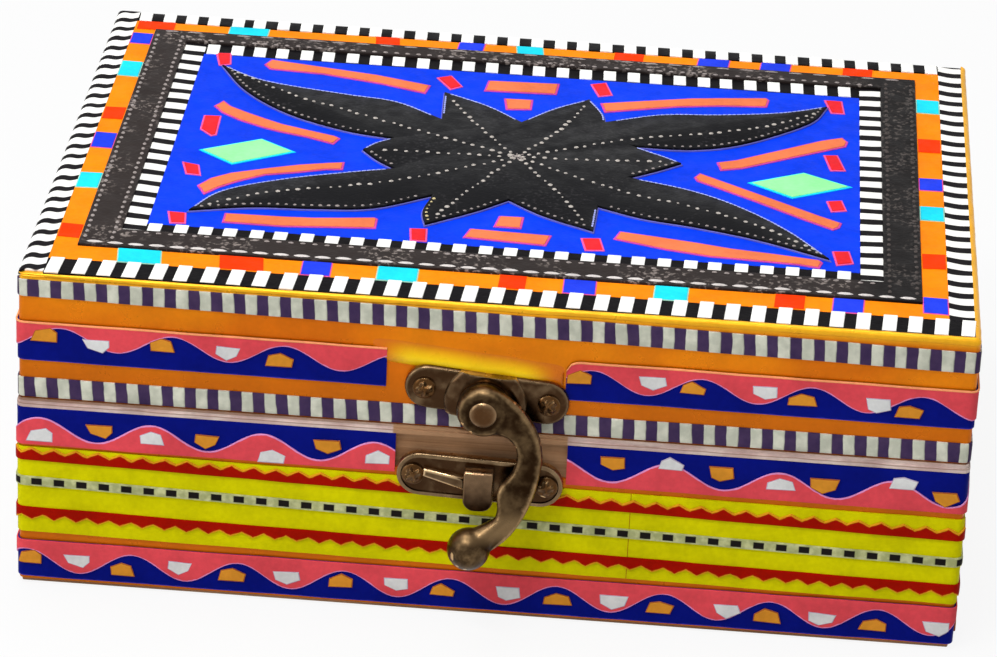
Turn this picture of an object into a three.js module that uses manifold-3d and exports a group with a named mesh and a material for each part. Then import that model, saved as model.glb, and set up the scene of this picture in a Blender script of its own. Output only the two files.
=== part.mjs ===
// Decorated storage box with a hinged lid and a swing-hook latch.
// Millimetres, +Z up, origin at the centre of the underside, front towards -Y.
import * as THREE from 'three';
import { mergeVertices } from 'three/addons/utils/BufferGeometryUtils.js';
import Module from 'manifold-3d';

const wasm = await Module();
wasm.setup();

// Overall sizes
const WIDTH = 165;
const DEPTH = 120;
const BASE_HEIGHT = 36.2;
const LID_HEIGHT = 23.4;
const LID_SETBACK = 0.8;

// Woodwork
const WALL = 6;
const FLOOR = 4;
const LID_BOARD = 4;

// Wrapping and strips
const COVER = 0.5;
const LAYER = 0.3;
const COVER_RADIUS = 1.0;
const RADIUS_RELIEF = 0.3;
const LID_EDGE_ROUND = 0.9;
const STRIP_GAP = 0.3;
const CORNER_STEPS = 2;

// Top ornament
const TOP_STRIP = 0.4;
const FRAME_LEATHER = 0.9;
const FLOWER_LEATHER = 0.8;
const INLAY_RELIEF = 0.3;

// Hinges
const HINGE_FROM_END = 32.5;
const HINGE_LENGTH = 20;
const HINGE_LEAF = 1.0;
const HINGE_LEAF_HEIGHT = 8;
const KNUCKLE_R = 1.6;
const KNUCKLE_GAP = 0.2;
const CENTRE_KNUCKLE = 7.6;
const HINGE_PIN_R = 0.8;
const PIN_FIT = 0.08;
const PIN_HEAD_R = 1.3;
const PIN_HEAD = 0.5;
const HINGE_AXIS_OFFSET = 1.7;

// Latch
const PLATE = 1.2;
const PLATE_HEIGHT = 8.1;
const BOSS = 1.0;
const BOSS_R = 6.6;
const RIVET_X = -1.3;
const RIVET_ABOVE_SEAM = 6.1;
const RIVET_R = 1.6;
const RIVET_TAIL_R = 1.2;
const RIVET_HEAD_R = 2.3;
const RIVET_HEAD = 0.9;
const HOOK_DISC_R = 4.6;
const HOOK_THICK = 2.2;
const HOOK_LIFT = 1.4;
const BALL_R = 3.85;
const NOSE_PROUD = 4.0;
const NOSE_THICK = 1.3;

// Screws
const LATCH_SCREW = { headR: 1.95, head: 0.9, shankR: 0.8, shank: 5.4 };
const HINGE_SCREW = { headR: 1.6, head: 0.5, shankR: 0.7, shank: 5.0 };
const SCREW_FIT = 0.15;
const SCREW_SIDES = 12;

// Derived sizes
const HALF_W = WIDTH / 2;
const HALF_D = DEPTH / 2;
const SEAM_Z = BASE_HEIGHT;
const LID_COVER_TOP = SEAM_Z + LID_HEIGHT;
const COVER_INSET = 2 * LAYER;
const WOOD_INSET = COVER_INSET + COVER;
const STRIP_TOP = LID_COVER_TOP + TOP_STRIP;
const LID_WOOD_TOP = LID_COVER_TOP - COVER;
const LID_FRONT = -HALF_D + LID_SETBACK;
const HINGE_X = HALF_W - HINGE_FROM_END;
const RIVET_Z = SEAM_Z + RIVET_ABOVE_SEAM;
const FULL_TURN = Math.PI * 2;

// Latch plates: centre, length over the round ends, tilt in degrees and screws' way in from the ends
const PLATE_RIM = 0.7;
const HEAD_CLEAR = 0.2;
const LOWER_SCREW_IN = LATCH_SCREW.headR + PLATE_RIM + HEAD_CLEAR;
const UPPER_PLATE = { x: -1.05, z: SEAM_Z + 7.3, length: 28.4, tilt: -4.6, screwIn: 3.45 };
const LOWER_PLATE = { x: -1.55, z: SEAM_Z - 8.4, length: 28.8, tilt: -2.0, screwIn: LOWER_SCREW_IN };
const PLATE_CLEAR = 0.4;

// Corners closer than this are one corner
const JOIN_WITHIN = 1e-4;

// Solid helpers
function solid(geometry) {
  const bare = geometry.clone();
  bare.deleteAttribute('normal');
  bare.deleteAttribute('uv');
  const joined = mergeVertices(bare, JOIN_WITHIN);
  const index = joined.index.array;
  const kept = [];
  for (let i = 0; i < index.length; i += 3) {
    const [a, b, c] = [index[i], index[i + 1], index[i + 2]];
    if (a !== b && b !== c && a !== c) {
      kept.push(a, b, c);
    }
  }
  return new wasm.Manifold(new wasm.Mesh({
    numProp: 3,
    vertProperties: new Float32Array(joined.attributes.position.array),
    triVerts: new Uint32Array(kept),
  }));
}

function surface(body) {
  const mesh = body.getMesh();
  const geometry = new THREE.BufferGeometry();
  geometry.setAttribute('position', new THREE.BufferAttribute(new Float32Array(mesh.vertProperties), 3));
  geometry.setIndex(new THREE.BufferAttribute(new Uint32Array(mesh.triVerts), 1));
  const flat = geometry.toNonIndexed();
  flat.computeVertexNormals();
  return flat;
}

function join(bodies) {
  return bodies.reduce((whole, body) => whole.add(body));
}

function box(x0, x1, y0, y1, z0, z1) {
  const geometry = new THREE.BoxGeometry(x1 - x0, y1 - y0, z1 - z0);
  geometry.translate((x0 + x1) / 2, (y0 + y1) / 2, (z0 + z1) / 2);
  return solid(geometry);
}

function extruded(shape, depth, segments) {
  return new THREE.ExtrudeGeometry(shape, { depth, bevelEnabled: false, curveSegments: segments });
}

// A shape drawn in X and Y, raised along Z
function raised(shape, z0, z1, segments = CORNER_STEPS) {
  const geometry = extruded(shape, z1 - z0, segments);
  geometry.translate(0, 0, z0);
  return geometry;
}

// A shape drawn in X and Z, running along Y
function alongY(shape, y0, y1, segments = 6) {
  const geometry = extruded(shape, y1 - y0, segments);
  geometry.rotateX(Math.PI / 2);
  geometry.translate(0, y1, 0);
  return geometry;
}

// A shape drawn in Y and Z, running along X
function alongX(shape, x0, x1, segments = 6) {
  const geometry = extruded(shape, x1 - x0, segments);
  geometry.applyMatrix4(new THREE.Matrix4().set(0, 0, 1, 0, 1, 0, 0, 0, 0, 1, 0, 0, 0, 0, 0, 1));
  geometry.translate(x0, 0, 0);
  return geometry;
}

function rodY(x, z, r, y0, y1, sides = 20) {
  const geometry = new THREE.CylinderGeometry(r, r, y1 - y0, sides);
  geometry.translate(x, (y0 + y1) / 2, z);
  return solid(geometry);
}

function rodX(y, z, r, x0, x1, sides = 12) {
  const geometry = new THREE.CylinderGeometry(r, r, x1 - x0, sides);
  geometry.rotateZ(Math.PI / 2);
  geometry.translate((x0 + x1) / 2, y, z);
  return solid(geometry);
}

function outline(points) {
  return new THREE.Shape(points.map(([u, v]) => new THREE.Vector2(u, v)));
}

// Rectangle of the box's plan, inset from the outside, for the base or the lid
function plan(inset, isLid) {
  const front = isLid ? LID_FRONT : -HALF_D;
  return { x0: -HALF_W + inset, x1: HALF_W - inset, y0: front + inset, y1: HALF_D - inset };
}

function roundedPath(path, rect, r) {
  const { x0, x1, y0, y1 } = rect;
  if (r <= 0) {
    path.moveTo(x0, y0);
    path.lineTo(x1, y0);
    path.lineTo(x1, y1);
    path.lineTo(x0, y1);
    path.closePath();
    return path;
  }
  path.moveTo(x0 + r, y0);
  path.absarc(x1 - r, y0 + r, r, -Math.PI / 2, 0, false);
  path.absarc(x1 - r, y1 - r, r, 0, Math.PI / 2, false);
  path.absarc(x0 + r, y1 - r, r, Math.PI / 2, Math.PI, false);
  path.absarc(x0 + r, y0 + r, r, Math.PI, Math.PI * 1.5, false);
  path.closePath();
  return path;
}

// Closed ring round the box, tilted so that its height changes evenly with X
function ring(outer, outerR, inner, innerR, z0, z1, slope = 0) {
  const whole = raised(roundedPath(new THREE.Shape(), outer, outerR), z0, z1);
  const overrun = z1 - z0 + Math.abs(slope) * WIDTH;
  const core = raised(roundedPath(new THREE.Shape(), inner, innerR), z0 - overrun, z1 + overrun);
  const tilt = new THREE.Matrix4().set(1, 0, 0, 0, 0, 1, 0, 0, slope, 0, 1, 0, 0, 0, 0, 1);
  whole.applyMatrix4(tilt);
  return solid(whole).subtract(solid(core));
}

// Strip glued round the box: layer 1 lies on the cover, layer 2 on layer 1
function stripRing(layer, isLid, z0, z1, slope = 0) {
  const inset = COVER_INSET - layer * LAYER;
  const outerR = COVER_RADIUS + layer * LAYER;
  const innerR = outerR - LAYER - RADIUS_RELIEF;
  return ring(plan(inset, isLid), outerR, plan(inset + LAYER, isLid), innerR, z0, z1, slope);
}

// Upright slab behind one side of the box, used to trim a strip to a drawn edge
const SIDE_BAND = 2.6;

function sideSlab(side, isLid, lower, upper, stations) {
  const rect = plan(0, isLid);
  const across = side === 'front' || side === 'back';
  const u0 = across ? rect.x0 - 1 : rect.y0 + SIDE_BAND;
  const u1 = across ? rect.x1 + 1 : rect.y1 - SIDE_BAND;
  const us = stations.filter((u) => u > u0 + 0.01 && u < u1 - 0.01);
  const line = [u0, ...us, u1];
  const below = line.map((u) => [u, lower(u)]);
  const above = line.map((u) => [u, upper(u)]).reverse();
  const shape = outline([...below, ...above]);
  if (side === 'front') {
    return solid(alongY(shape, rect.y0 - 1, rect.y0 + SIDE_BAND));
  }
  if (side === 'back') {
    return solid(alongY(shape, rect.y1 - SIDE_BAND, rect.y1 + 1));
  }
  if (side === 'left') {
    return solid(alongX(shape, rect.x0 - 1, rect.x0 + SIDE_BAND));
  }
  return solid(alongX(shape, rect.x1 - SIDE_BAND, rect.x1 + 1));
}

// Every side's slab joined: edge(side) gives its stations and its lower and upper lines
function allSides(isLid, edge) {
  return join(['front', 'right', 'back', 'left'].map((side) => {
    const { lower, upper, stations } = edge(side);
    return sideSlab(side, isLid, lower, upper, stations);
  }));
}

function evenly(u0, u1, step) {
  const count = Math.round((u1 - u0) / step);
  return Array.from({ length: count + 1 }, (_, i) => u0 + ((u1 - u0) * i) / count);
}

// Wave line: crests at crest + n * period, sloping with X along the front and back
const WAVE_STEPS = 8;

function waveLine(mid, amp, crest, period) {
  return (u) => mid + amp * Math.cos((FULL_TURN * (u - crest)) / period);
}

// Woodwork
const baseWood = plan(WOOD_INSET, false);
const lidWood = plan(WOOD_INSET, true);
const parts = {};

function fourWalls(prefix, words, rect, z0, z1) {
  parts[`${prefix}_front_${words}`] = box(rect.x0, rect.x1, rect.y0, rect.y0 + WALL, z0, z1);
  parts[`${prefix}_back_${words}`] = box(rect.x0, rect.x1, rect.y1 - WALL, rect.y1, z0, z1);
  parts[`${prefix}_left_${words}`] = box(rect.x0, rect.x0 + WALL, rect.y0 + WALL, rect.y1 - WALL, z0, z1);
  parts[`${prefix}_right_${words}`] = box(rect.x1 - WALL, rect.x1, rect.y0 + WALL, rect.y1 - WALL, z0, z1);
}

parts.base_floor_panel = box(baseWood.x0, baseWood.x1, baseWood.y0, baseWood.y1, 0, FLOOR);
fourWalls('base', 'wall', baseWood, FLOOR, SEAM_Z);
const lidBoardUnder = LID_WOOD_TOP - LID_BOARD;
parts.lid_top_panel = box(lidWood.x0, lidWood.x1, lidWood.y0, lidWood.y1, lidBoardUnder, LID_WOOD_TOP);
fourWalls('lid', 'rail', lidWood, SEAM_Z, lidBoardUnder);

// Wrapping round the base, open in a window behind the latch
const RIM_HEIGHT = 1.3;
const BASE_COVER_LOW = 0.8;
const BASE_COVER_TOP = SEAM_Z - RIM_HEIGHT;
const WINDOW_HEIGHT = 8.0;
const WINDOW = {
  x0: LOWER_PLATE.x - LOWER_PLATE.length / 2 - PLATE_CLEAR,
  x1: LOWER_PLATE.x + LOWER_PLATE.length / 2 + PLATE_CLEAR,
  z0: SEAM_Z - WINDOW_HEIGHT,
};
const baseCoverPlan = plan(COVER_INSET, false);
parts.base_cover = ring(baseCoverPlan, COVER_RADIUS, baseWood, 0, BASE_COVER_LOW, BASE_COVER_TOP)
  .subtract(box(WINDOW.x0, WINDOW.x1, -HALF_D - 1, baseWood.y0, WINDOW.z0, SEAM_Z));

// Pale edging round the base's rim, with its top edge eased
const rimPlan = plan(LAYER, false);
const RIM_EASE = 0.5;
parts.base_rim_edging = join([
  ring(rimPlan, COVER_RADIUS + LAYER, baseWood, 0, BASE_COVER_TOP, SEAM_Z - RIM_EASE),
  ring(plan(LAYER + RIM_EASE / 2, false), COVER_RADIUS, baseWood, 0, SEAM_Z - RIM_EASE, SEAM_Z),
]);

// Wrapping over the lid: a cap with a rounded top edge
const lidCoverPlan = plan(COVER_INSET, true);
const capShape = roundedPath(new THREE.Shape(), {
  x0: lidCoverPlan.x0 + LID_EDGE_ROUND,
  x1: lidCoverPlan.x1 - LID_EDGE_ROUND,
  y0: lidCoverPlan.y0 + LID_EDGE_ROUND,
  y1: lidCoverPlan.y1 - LID_EDGE_ROUND,
}, 0.1);
const capDepth = 2 * LID_HEIGHT;
const capGeometry = new THREE.ExtrudeGeometry(capShape, {
  depth: capDepth,
  bevelEnabled: true,
  bevelThickness: LID_EDGE_ROUND,
  bevelSize: LID_EDGE_ROUND,
  bevelSegments: 2,
  curveSegments: CORNER_STEPS,
});
capGeometry.translate(0, 0, LID_COVER_TOP - LID_EDGE_ROUND - capDepth);
parts.lid_cover = solid(capGeometry)
  .subtract(box(-WIDTH, WIDTH, -DEPTH, DEPTH, -WIDTH, SEAM_Z))
  .subtract(box(lidWood.x0, lidWood.x1, lidWood.y0, lidWood.y1, 0, LID_WOOD_TOP));

// Nested rectangles of the lid's top, read inwards from the edge
const topFlat = {
  x0: lidCoverPlan.x0 + LID_EDGE_ROUND,
  x1: lidCoverPlan.x1 - LID_EDGE_ROUND,
  y0: lidCoverPlan.y0 + LID_EDGE_ROUND,
  y1: lidCoverPlan.y1 - LID_EDGE_ROUND,
};
const OUTER_STRIP = { left: 3.2, right: 4.4, front: 5.8, back: 4.0 };
const BORDER = { left: 4.2, right: 4.5, front: 5.5, back: 4.3 };
const LEATHER_FRAME = { left: 6.6, right: 6.6, front: 7.0, back: 4.9 };
const INNER_STRIP = { left: 4.0, right: 4.0, front: 3.7, back: 4.6 };

function inwards(rect, by) {
  return { x0: rect.x0 + by.left, x1: rect.x1 - by.right, y0: rect.y0 + by.front, y1: rect.y1 - by.back };
}

const insideOuter = inwards(topFlat, OUTER_STRIP);
const insideBlocks = inwards(insideOuter, BORDER);
const insideFrame = inwards(insideBlocks, LEATHER_FRAME);
const field = inwards(insideFrame, INNER_STRIP);

function topSlab(x0, x1, y0, y1) {
  return box(x0, x1, y0, y1, LID_COVER_TOP, STRIP_TOP);
}

function topRing(outer, inner, z1) {
  return ring(outer, 0, inner, 0, LID_COVER_TOP, z1);
}

parts.top_zebra_strip_left = topSlab(topFlat.x0, insideOuter.x0, topFlat.y0, topFlat.y1);
parts.top_zebra_strip_right = topSlab(insideOuter.x1, topFlat.x1, insideOuter.y0, topFlat.y1);
parts.top_check_strip_back = topSlab(insideOuter.x0, insideOuter.x1, insideOuter.y1, topFlat.y1);
parts.top_check_strip_front = topSlab(insideOuter.x0, topFlat.x1, topFlat.y0, insideOuter.y0);
parts.top_block_border = topRing(insideOuter, insideBlocks, STRIP_TOP);
parts.top_leather_frame = topRing(insideBlocks, insideFrame, LID_COVER_TOP + FRAME_LEATHER);
parts.inner_zebra_strip_left = topSlab(insideFrame.x0, field.x0, insideFrame.y0, insideFrame.y1);
parts.inner_zebra_strip_right = topSlab(field.x1, insideFrame.x1, insideFrame.y0, insideFrame.y1);
parts.inner_check_strip_front = topSlab(field.x0, field.x1, insideFrame.y0, field.y0);
parts.inner_check_strip_back = topSlab(field.x0, field.x1, field.y1, insideFrame.y1);

// The field's drawing was made for a field of this size, centred here, and follows the real one
const DRAWN = { x: -0.75, y: 2.5, width: 124.5, height: 76.4 };

function onField([x, y]) {
  return [
    (field.x0 + field.x1) / 2 + ((x - DRAWN.x) * (field.x1 - field.x0)) / DRAWN.width,
    (field.y0 + field.y1) / 2 + ((y - DRAWN.y) * (field.y1 - field.y0)) / DRAWN.height,
  ];
}

// Leather flower: each run goes from one corner to the next, a leaf tip or a notch
const flowerRuns = [
  [[-59.0, 35.0], [-49.8, 28.6], [-34.5, 24.9], [-24.5, 22.9], [-15.8, 16.6]],
  [[-15.8, 16.6], [-16.3, 29.1]],
  [[-16.3, 29.1], [-7.5, 23.8], [-1.0, 17.6]],
  [[-1.0, 17.6], [4.5, 24.5], [11.0, 30.2]],
  [[11.0, 30.2], [13.8, 24.0], [14.5, 20.2]],
  [[14.5, 20.2], [24.5, 25.2], [35.2, 27.0], [46.7, 29.9], [55.6, 34.4]],
  [[55.6, 34.4], [52.1, 25.9], [40.6, 15.0], [31.0, 10.6], [20.0, 10.1]],
  [[20.0, 10.1], [25.5, 6.6], [29.2, 4.0]],
  [[29.2, 4.0], [25.0, 0.2], [20.0, -3.8]],
  [[20.0, -3.8], [31.3, -7.6], [40.2, -13.2], [49.0, -21.9], [56.3, -32.3]],
  [[56.3, -32.3], [43.6, -26.2], [32.5, -22.7], [23.0, -20.6], [15.0, -17.1]],
  [[15.0, -17.1], [14.7, -27.4]],
  [[14.7, -27.4], [5.5, -22.4], [-1.0, -16.9]],
  [[-1.0, -16.9], [-6.5, -22.5], [-15.0, -29.5]],
  [[-15.0, -29.5], [-15.9, -24.0], [-14.8, -17.4]],
  [[-14.8, -17.4], [-24.5, -24.0], [-34.5, -25.9], [-45.5, -27.0], [-56.7, -30.2]],
  [[-56.7, -30.2], [-52.0, -21.5], [-42.0, -14.8], [-30.0, -9.6], [-22.5, -6.8]],
  [[-22.5, -6.8], [-26.0, -3.4], [-28.9, 0.6]],
  [[-28.9, 0.6], [-27.0, 3.6], [-24.0, 6.4]],
  [[-24.0, 6.4], [-33.0, 8.6], [-44.0, 14.4], [-53.0, 23.6], [-59.0, 35.0]],
];
const POINTS_PER_SPAN = 2;

function runPoints(run) {
  if (run.length === 2) {
    return [run[0]];
  }
  const curve = new THREE.SplineCurve(run.map(([x, y]) => new THREE.Vector2(x, y)));
  return curve.getPoints((run.length - 1) * POINTS_PER_SPAN).slice(0, -1).map((p) => [p.x, p.y]);
}

const flowerPoints = flowerRuns.map((run) => run.map(onField)).flatMap(runPoints);
const flowerTop = STRIP_TOP + FLOWER_LEATHER;
parts.top_flower = solid(raised(outline(flowerPoints), STRIP_TOP, flowerTop));

// The same outline moved outwards, to keep the inlays clear of the flower
function grown(points, by) {
  return points.map((point, i) => {
    const before = points[(i + points.length - 1) % points.length];
    const after = points[(i + 1) % points.length];
    const along = new THREE.Vector2(after[0] - before[0], after[1] - before[1]).normalize();
    return [point[0] - along.y * by, point[1] + along.x * by];
  });
}

// Blue field with bars, lozenges and small red slips standing on it
const BAR = 4.0;
const bars = [
  [[-50.7, 37.4], [-19.3, 30.9]],
  [[13.5, 27.9], [44.4, 34.9]],
  [[-57.2, 17.4], [-48.5, 9.9], [-33.8, 4.4]],
  [[-55.7, -20.6], [-49.8, -13.6], [-31.5, -6.4]],
  [[-50.2, -31.6], [-39.5, -31.5], [-23.5, -29.6]],
  [[18.7, -27.4], [29.0, -30.2], [54.5, -34.0]],
  [[35.8, 4.6], [58.9, 19.2]],
  [[32.3, -0.3], [57.5, -17.9]],
];
const blocks = [
  [-2.0, 34.6, 13.6, 5.0],
  [-2.0, 26.5, 5.2, 4.6],
  [-0.3, -25.0, 4.8, 4.6],
  [-0.2, -31.2, 14.6, 4.2],
];
const lozenges = [
  [[-58.2, -3.5], [-51.5, -8.9], [-40.7, -1.7], [-47.5, 3.2]],
  [[41.2, -1.5], [49.4, -7.0], [60.2, -0.4], [51.3, 4.6]],
];
const SLIP = { width: 3.2, height: 5.2, lean: 0.7 };
const slips = [
  [-58.9, 38.0], [-57.6, 7.6], [-58.4, -12.0], [-58.1, -32.6], [-15.5, 34.6], [13.0, 35.8],
  [-15.7, -32.8], [14.7, -31.8], [57.0, 37.2], [56.9, 9.6], [57.4, -8.9], [59.2, -32.2],
];

function barShape(line) {
  const left = [];
  const right = [];
  line.forEach((point, i) => {
    const before = line[Math.max(i - 1, 0)];
    const after = line[Math.min(i + 1, line.length - 1)];
    const along = new THREE.Vector2(after[0] - before[0], after[1] - before[1]).normalize();
    left.push([point[0] - (along.y * BAR) / 2, point[1] + (along.x * BAR) / 2]);
    right.unshift([point[0] + (along.y * BAR) / 2, point[1] - (along.x * BAR) / 2]);
  });
  return outline([...left, ...right]);
}

function slipShape([x, y]) {
  const { width, height, lean } = SLIP;
  return outline([
    [x - width / 2 - lean, y + height / 2],
    [x - width / 2 + lean, y - height / 2],
    [x + width / 2 + lean, y - height / 2],
    [x + width / 2 - lean, y + height / 2],
  ]);
}

function blockShape([drawnX, drawnY, w, h]) {
  const [x, y] = onField([drawnX, drawnY]);
  return outline([
    [x - w / 2, y - h / 2],
    [x + w / 2, y - h / 2],
    [x + w / 2, y + h / 2],
    [x - w / 2, y + h / 2],
  ]);
}

const inlayShapes = [
  ...bars.map((line) => barShape(line.map(onField))),
  ...blocks.map(blockShape),
  ...lozenges.map((corners) => outline(corners.map(onField))),
  ...slips.map((centre) => slipShape(onField(centre))),
];
const INLAY_CLEAR = 0.35;
const clearOutline = outline(grown(flowerPoints, INLAY_CLEAR));
const clearOfFlower = solid(raised(clearOutline, STRIP_TOP - TOP_STRIP, flowerTop + TOP_STRIP));
const insideField = box(
  field.x0 + INLAY_CLEAR, field.x1 - INLAY_CLEAR,
  field.y0 + INLAY_CLEAR, field.y1 - INLAY_CLEAR,
  LID_COVER_TOP, flowerTop,
);
const inlayBottom = STRIP_TOP - TOP_STRIP / 4;
const inlays = join(inlayShapes.map((shape) => solid(raised(shape, inlayBottom, STRIP_TOP + INLAY_RELIEF))))
  .intersect(insideField)
  .subtract(clearOfFlower);
parts.top_blue_field = topSlab(field.x0, field.x1, field.y0, field.y1).add(inlays);

// Strips round the lid, stacked between the seam and the lid's rounded edge
const LID_STRIPE_UPPER = { height: 3.9, slope: -0.0133, belowTop: 1.0 };
const LID_STRIPE_LOWER = { height: 3.7 };
const LID_WAVE_HEIGHT = 7.5;
const lidUpperTop = LID_COVER_TOP - LID_STRIPE_UPPER.belowTop;
const lidUpperLow = lidUpperTop - LID_STRIPE_UPPER.height;
const lidLowerLow = SEAM_Z + STRIP_GAP;
const lidLowerTop = lidLowerLow + LID_STRIPE_LOWER.height;
const foilShown = lidUpperLow - lidLowerTop - LID_WAVE_HEIGHT;
const FOIL_BELOW_WAVE = 0.43;
const lidWaveLow = lidLowerTop + FOIL_BELOW_WAVE * foilShown;
const lidStripeLimit = LID_COVER_TOP - LID_EDGE_ROUND - STRIP_GAP;
parts.lid_stripe_band_upper = stripRing(1, true, lidUpperLow, lidUpperTop, LID_STRIPE_UPPER.slope)
  .subtract(box(-WIDTH, WIDTH, -DEPTH, DEPTH, lidStripeLimit, LID_COVER_TOP + LID_HEIGHT));
parts.lid_stripe_band_lower = stripRing(1, true, lidLowerLow, lidLowerTop);

// Waved strips: blue lies below, pink above it as far as the wave
function frontGap(x0, x1) {
  return box(x0, x1, -HALF_D - SIDE_BAND, -HALF_D + 2 * SIDE_BAND, 0, LID_COVER_TOP);
}

function wavedPink(isLid, z0, z1, slope, edge) {
  const trimmed = allSides(isLid, (side) => {
    const { line, stations } = edge(side);
    return edge.pinkAbove
      ? { lower: line, upper: () => z1 + (z1 - z0) / 2, stations }
      : { lower: () => z0 - (z1 - z0) / 2, upper: line, stations };
  });
  return stripRing(2, isLid, z0, z1, slope).intersect(trimmed);
}

const sideTop = HALF_D;
const sideBottom = -HALF_D;

function waveEdges(settings) {
  const edge = (side) => {
    const { mid, slope, amp, front, sides, back } = settings;
    const runs = { front, back, left: sides.left, right: sides.right }[side];
    const across = side === 'front' || side === 'back';
    const offset = across ? (u) => slope * u : () => slope * (side === 'left' ? -HALF_W : HALF_W);
    const line = (u) => {
      const run = runs.find((r) => u <= r.until) ?? runs[runs.length - 1];
      return waveLine(mid, amp, run.crest, run.period)(u) + offset(u);
    };
    let from = across ? -HALF_W : sideBottom;
    const stations = [];
    for (const run of runs) {
      const until = Math.min(run.until, across ? HALF_W : sideTop);
      stations.push(...evenly(from, until, run.period / WAVE_STEPS).slice(from > sideBottom ? 1 : 0));
      from = until;
    }
    const inOrder = [...new Set(stations)].sort((a, b) => a - b);
    return { line, stations: inOrder };
  };
  edge.pinkAbove = settings.pinkAbove;
  return edge;
}

const LATCH_X = 0;
const LID_WAVE_MID = 4.2;
const lidWaveEdges = waveEdges({
  pinkAbove: true,
  mid: lidWaveLow + LID_WAVE_MID,
  slope: -0.010,
  amp: 1.95,
  front: [
    { crest: -HALF_W + 8.0, period: 19.3, until: LATCH_X },
    { crest: 16.7, period: 18.8, until: HALF_W },
  ],
  sides: {
    left: [{ crest: -HALF_D + 12.0, period: 19.2, until: HALF_D }],
    right: [{ crest: -HALF_D + 12.0, period: 19.2, until: HALF_D }],
  },
  back: [{ crest: 0, period: 18.6, until: HALF_W }],
});
const LID_WAVE = { z0: lidWaveLow, z1: lidWaveLow + LID_WAVE_HEIGHT, slope: -0.004 };
const WAVE_STOPS_BEFORE_PLATE = 3.2;
const lidWaveGap = frontGap(
  UPPER_PLATE.x - UPPER_PLATE.length / 2 - WAVE_STOPS_BEFORE_PLATE,
  UPPER_PLATE.x + UPPER_PLATE.length / 2 + PLATE_CLEAR,
);
parts.lid_wave_blue = stripRing(1, true, LID_WAVE.z0, LID_WAVE.z1, LID_WAVE.slope).subtract(lidWaveGap);
parts.lid_wave_pink = wavedPink(true, LID_WAVE.z0, LID_WAVE.z1, LID_WAVE.slope, lidWaveEdges)
  .subtract(lidWaveGap);

// Strips round the base: the upper waves hang from the rim, the lower ones stand near the
// floor, and the lime band fills what is left between them
const BASE_UPPER_WAVE = { height: 7.0, belowSeam: 1.8, mid: 3.3 };
const baseUpperTop = SEAM_Z - BASE_UPPER_WAVE.belowSeam;
const baseUpperLow = baseUpperTop - BASE_UPPER_WAVE.height;
const baseUpperEdges = waveEdges({
  pinkAbove: false,
  mid: baseUpperLow + BASE_UPPER_WAVE.mid,
  slope: -0.004,
  amp: 2.1,
  front: [
    { crest: -HALF_W + 4.4, period: 19.4, until: LATCH_X },
    { crest: 11.2, period: 19.4, until: HALF_W },
  ],
  sides: {
    left: [{ crest: -HALF_D + 20.0, period: 19.6, until: HALF_D }],
    right: [{ crest: -HALF_D + 20.0, period: 19.6, until: HALF_D }],
  },
  back: [{ crest: 0, period: 18.4, until: HALF_W }],
});
const BASE_UPPER = { z0: baseUpperLow, z1: baseUpperTop, slope: -0.004 };
const baseUpperGap = frontGap(WINDOW.x0, WINDOW.x1);
parts.base_wave_upper_blue = stripRing(1, false, BASE_UPPER.z0, BASE_UPPER.z1, BASE_UPPER.slope)
  .subtract(baseUpperGap);
parts.base_wave_upper_pink = wavedPink(
  false, BASE_UPPER.z0, BASE_UPPER.z1, BASE_UPPER.slope, baseUpperEdges,
).subtract(baseUpperGap);

const BASE_LOWER = { z0: 1.2, z1: 8.6, mid: 3.6, slope: -0.002 };
const baseLowerEdges = waveEdges({
  pinkAbove: true,
  mid: BASE_LOWER.z0 + BASE_LOWER.mid,
  slope: 0,
  amp: 2.2,
  front: [{ crest: -HALF_W + 2.0, period: 18.65, until: HALF_W }],
  sides: {
    left: [{ crest: -HALF_D + 2.0, period: 19.3, until: HALF_D }],
    right: [{ crest: -HALF_D + 8.0, period: 18.8, until: HALF_D }],
  },
  back: [{ crest: -HALF_W + 2.0, period: 18.1, until: HALF_W }],
});
parts.base_wave_lower_blue = stripRing(1, false, BASE_LOWER.z0, BASE_LOWER.z1, BASE_LOWER.slope);
parts.base_wave_lower_pink = wavedPink(
  false, BASE_LOWER.z0, BASE_LOWER.z1, BASE_LOWER.slope, baseLowerEdges,
);

const LIME_GAP = { above: 0.9, below: 1.1 };
const LIME = { z0: BASE_LOWER.z1 + LIME_GAP.below, z1: baseUpperLow - LIME_GAP.above, slope: -0.008 };
parts.base_lime_band = stripRing(1, false, LIME.z0, LIME.z1, LIME.slope);

// Red strips with a toothed edge, on the lime band
const TOOTH_PITCH = 3.88;
const TOOTH = 0.95;

function toothedStrip(straight, toothTip, slope, teethUp) {
  const low = LIME.z0 - (LIME.z1 - LIME.z0);
  const high = LIME.z1 + (LIME.z1 - LIME.z0);
  const teeth = allSides(false, (side) => {
    const across = side === 'front' || side === 'back';
    const rise = across ? (u) => slope * u : () => slope * (side === 'left' ? -HALF_W : HALF_W);
    const end = across ? HALF_W : HALF_D;
    const stations = evenly(-end, end, TOOTH_PITCH / 2);
    const step = (2 * end) / (stations.length - 1);
    const edge = (u) => {
      const phase = (((u + end) / step) % 2 + 2) % 2;
      const dip = TOOTH * Math.abs(1 - phase);
      return toothTip + (teethUp ? -dip : dip) + rise(u);
    };
    return teethUp
      ? { lower: () => low, upper: edge, stations }
      : { lower: edge, upper: () => high, stations };
  });
  const body = teethUp ? stripRing(2, false, straight, toothTip + 1, slope)
    : stripRing(2, false, toothTip - 1, straight, slope);
  return body.intersect(teeth);
}

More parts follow.
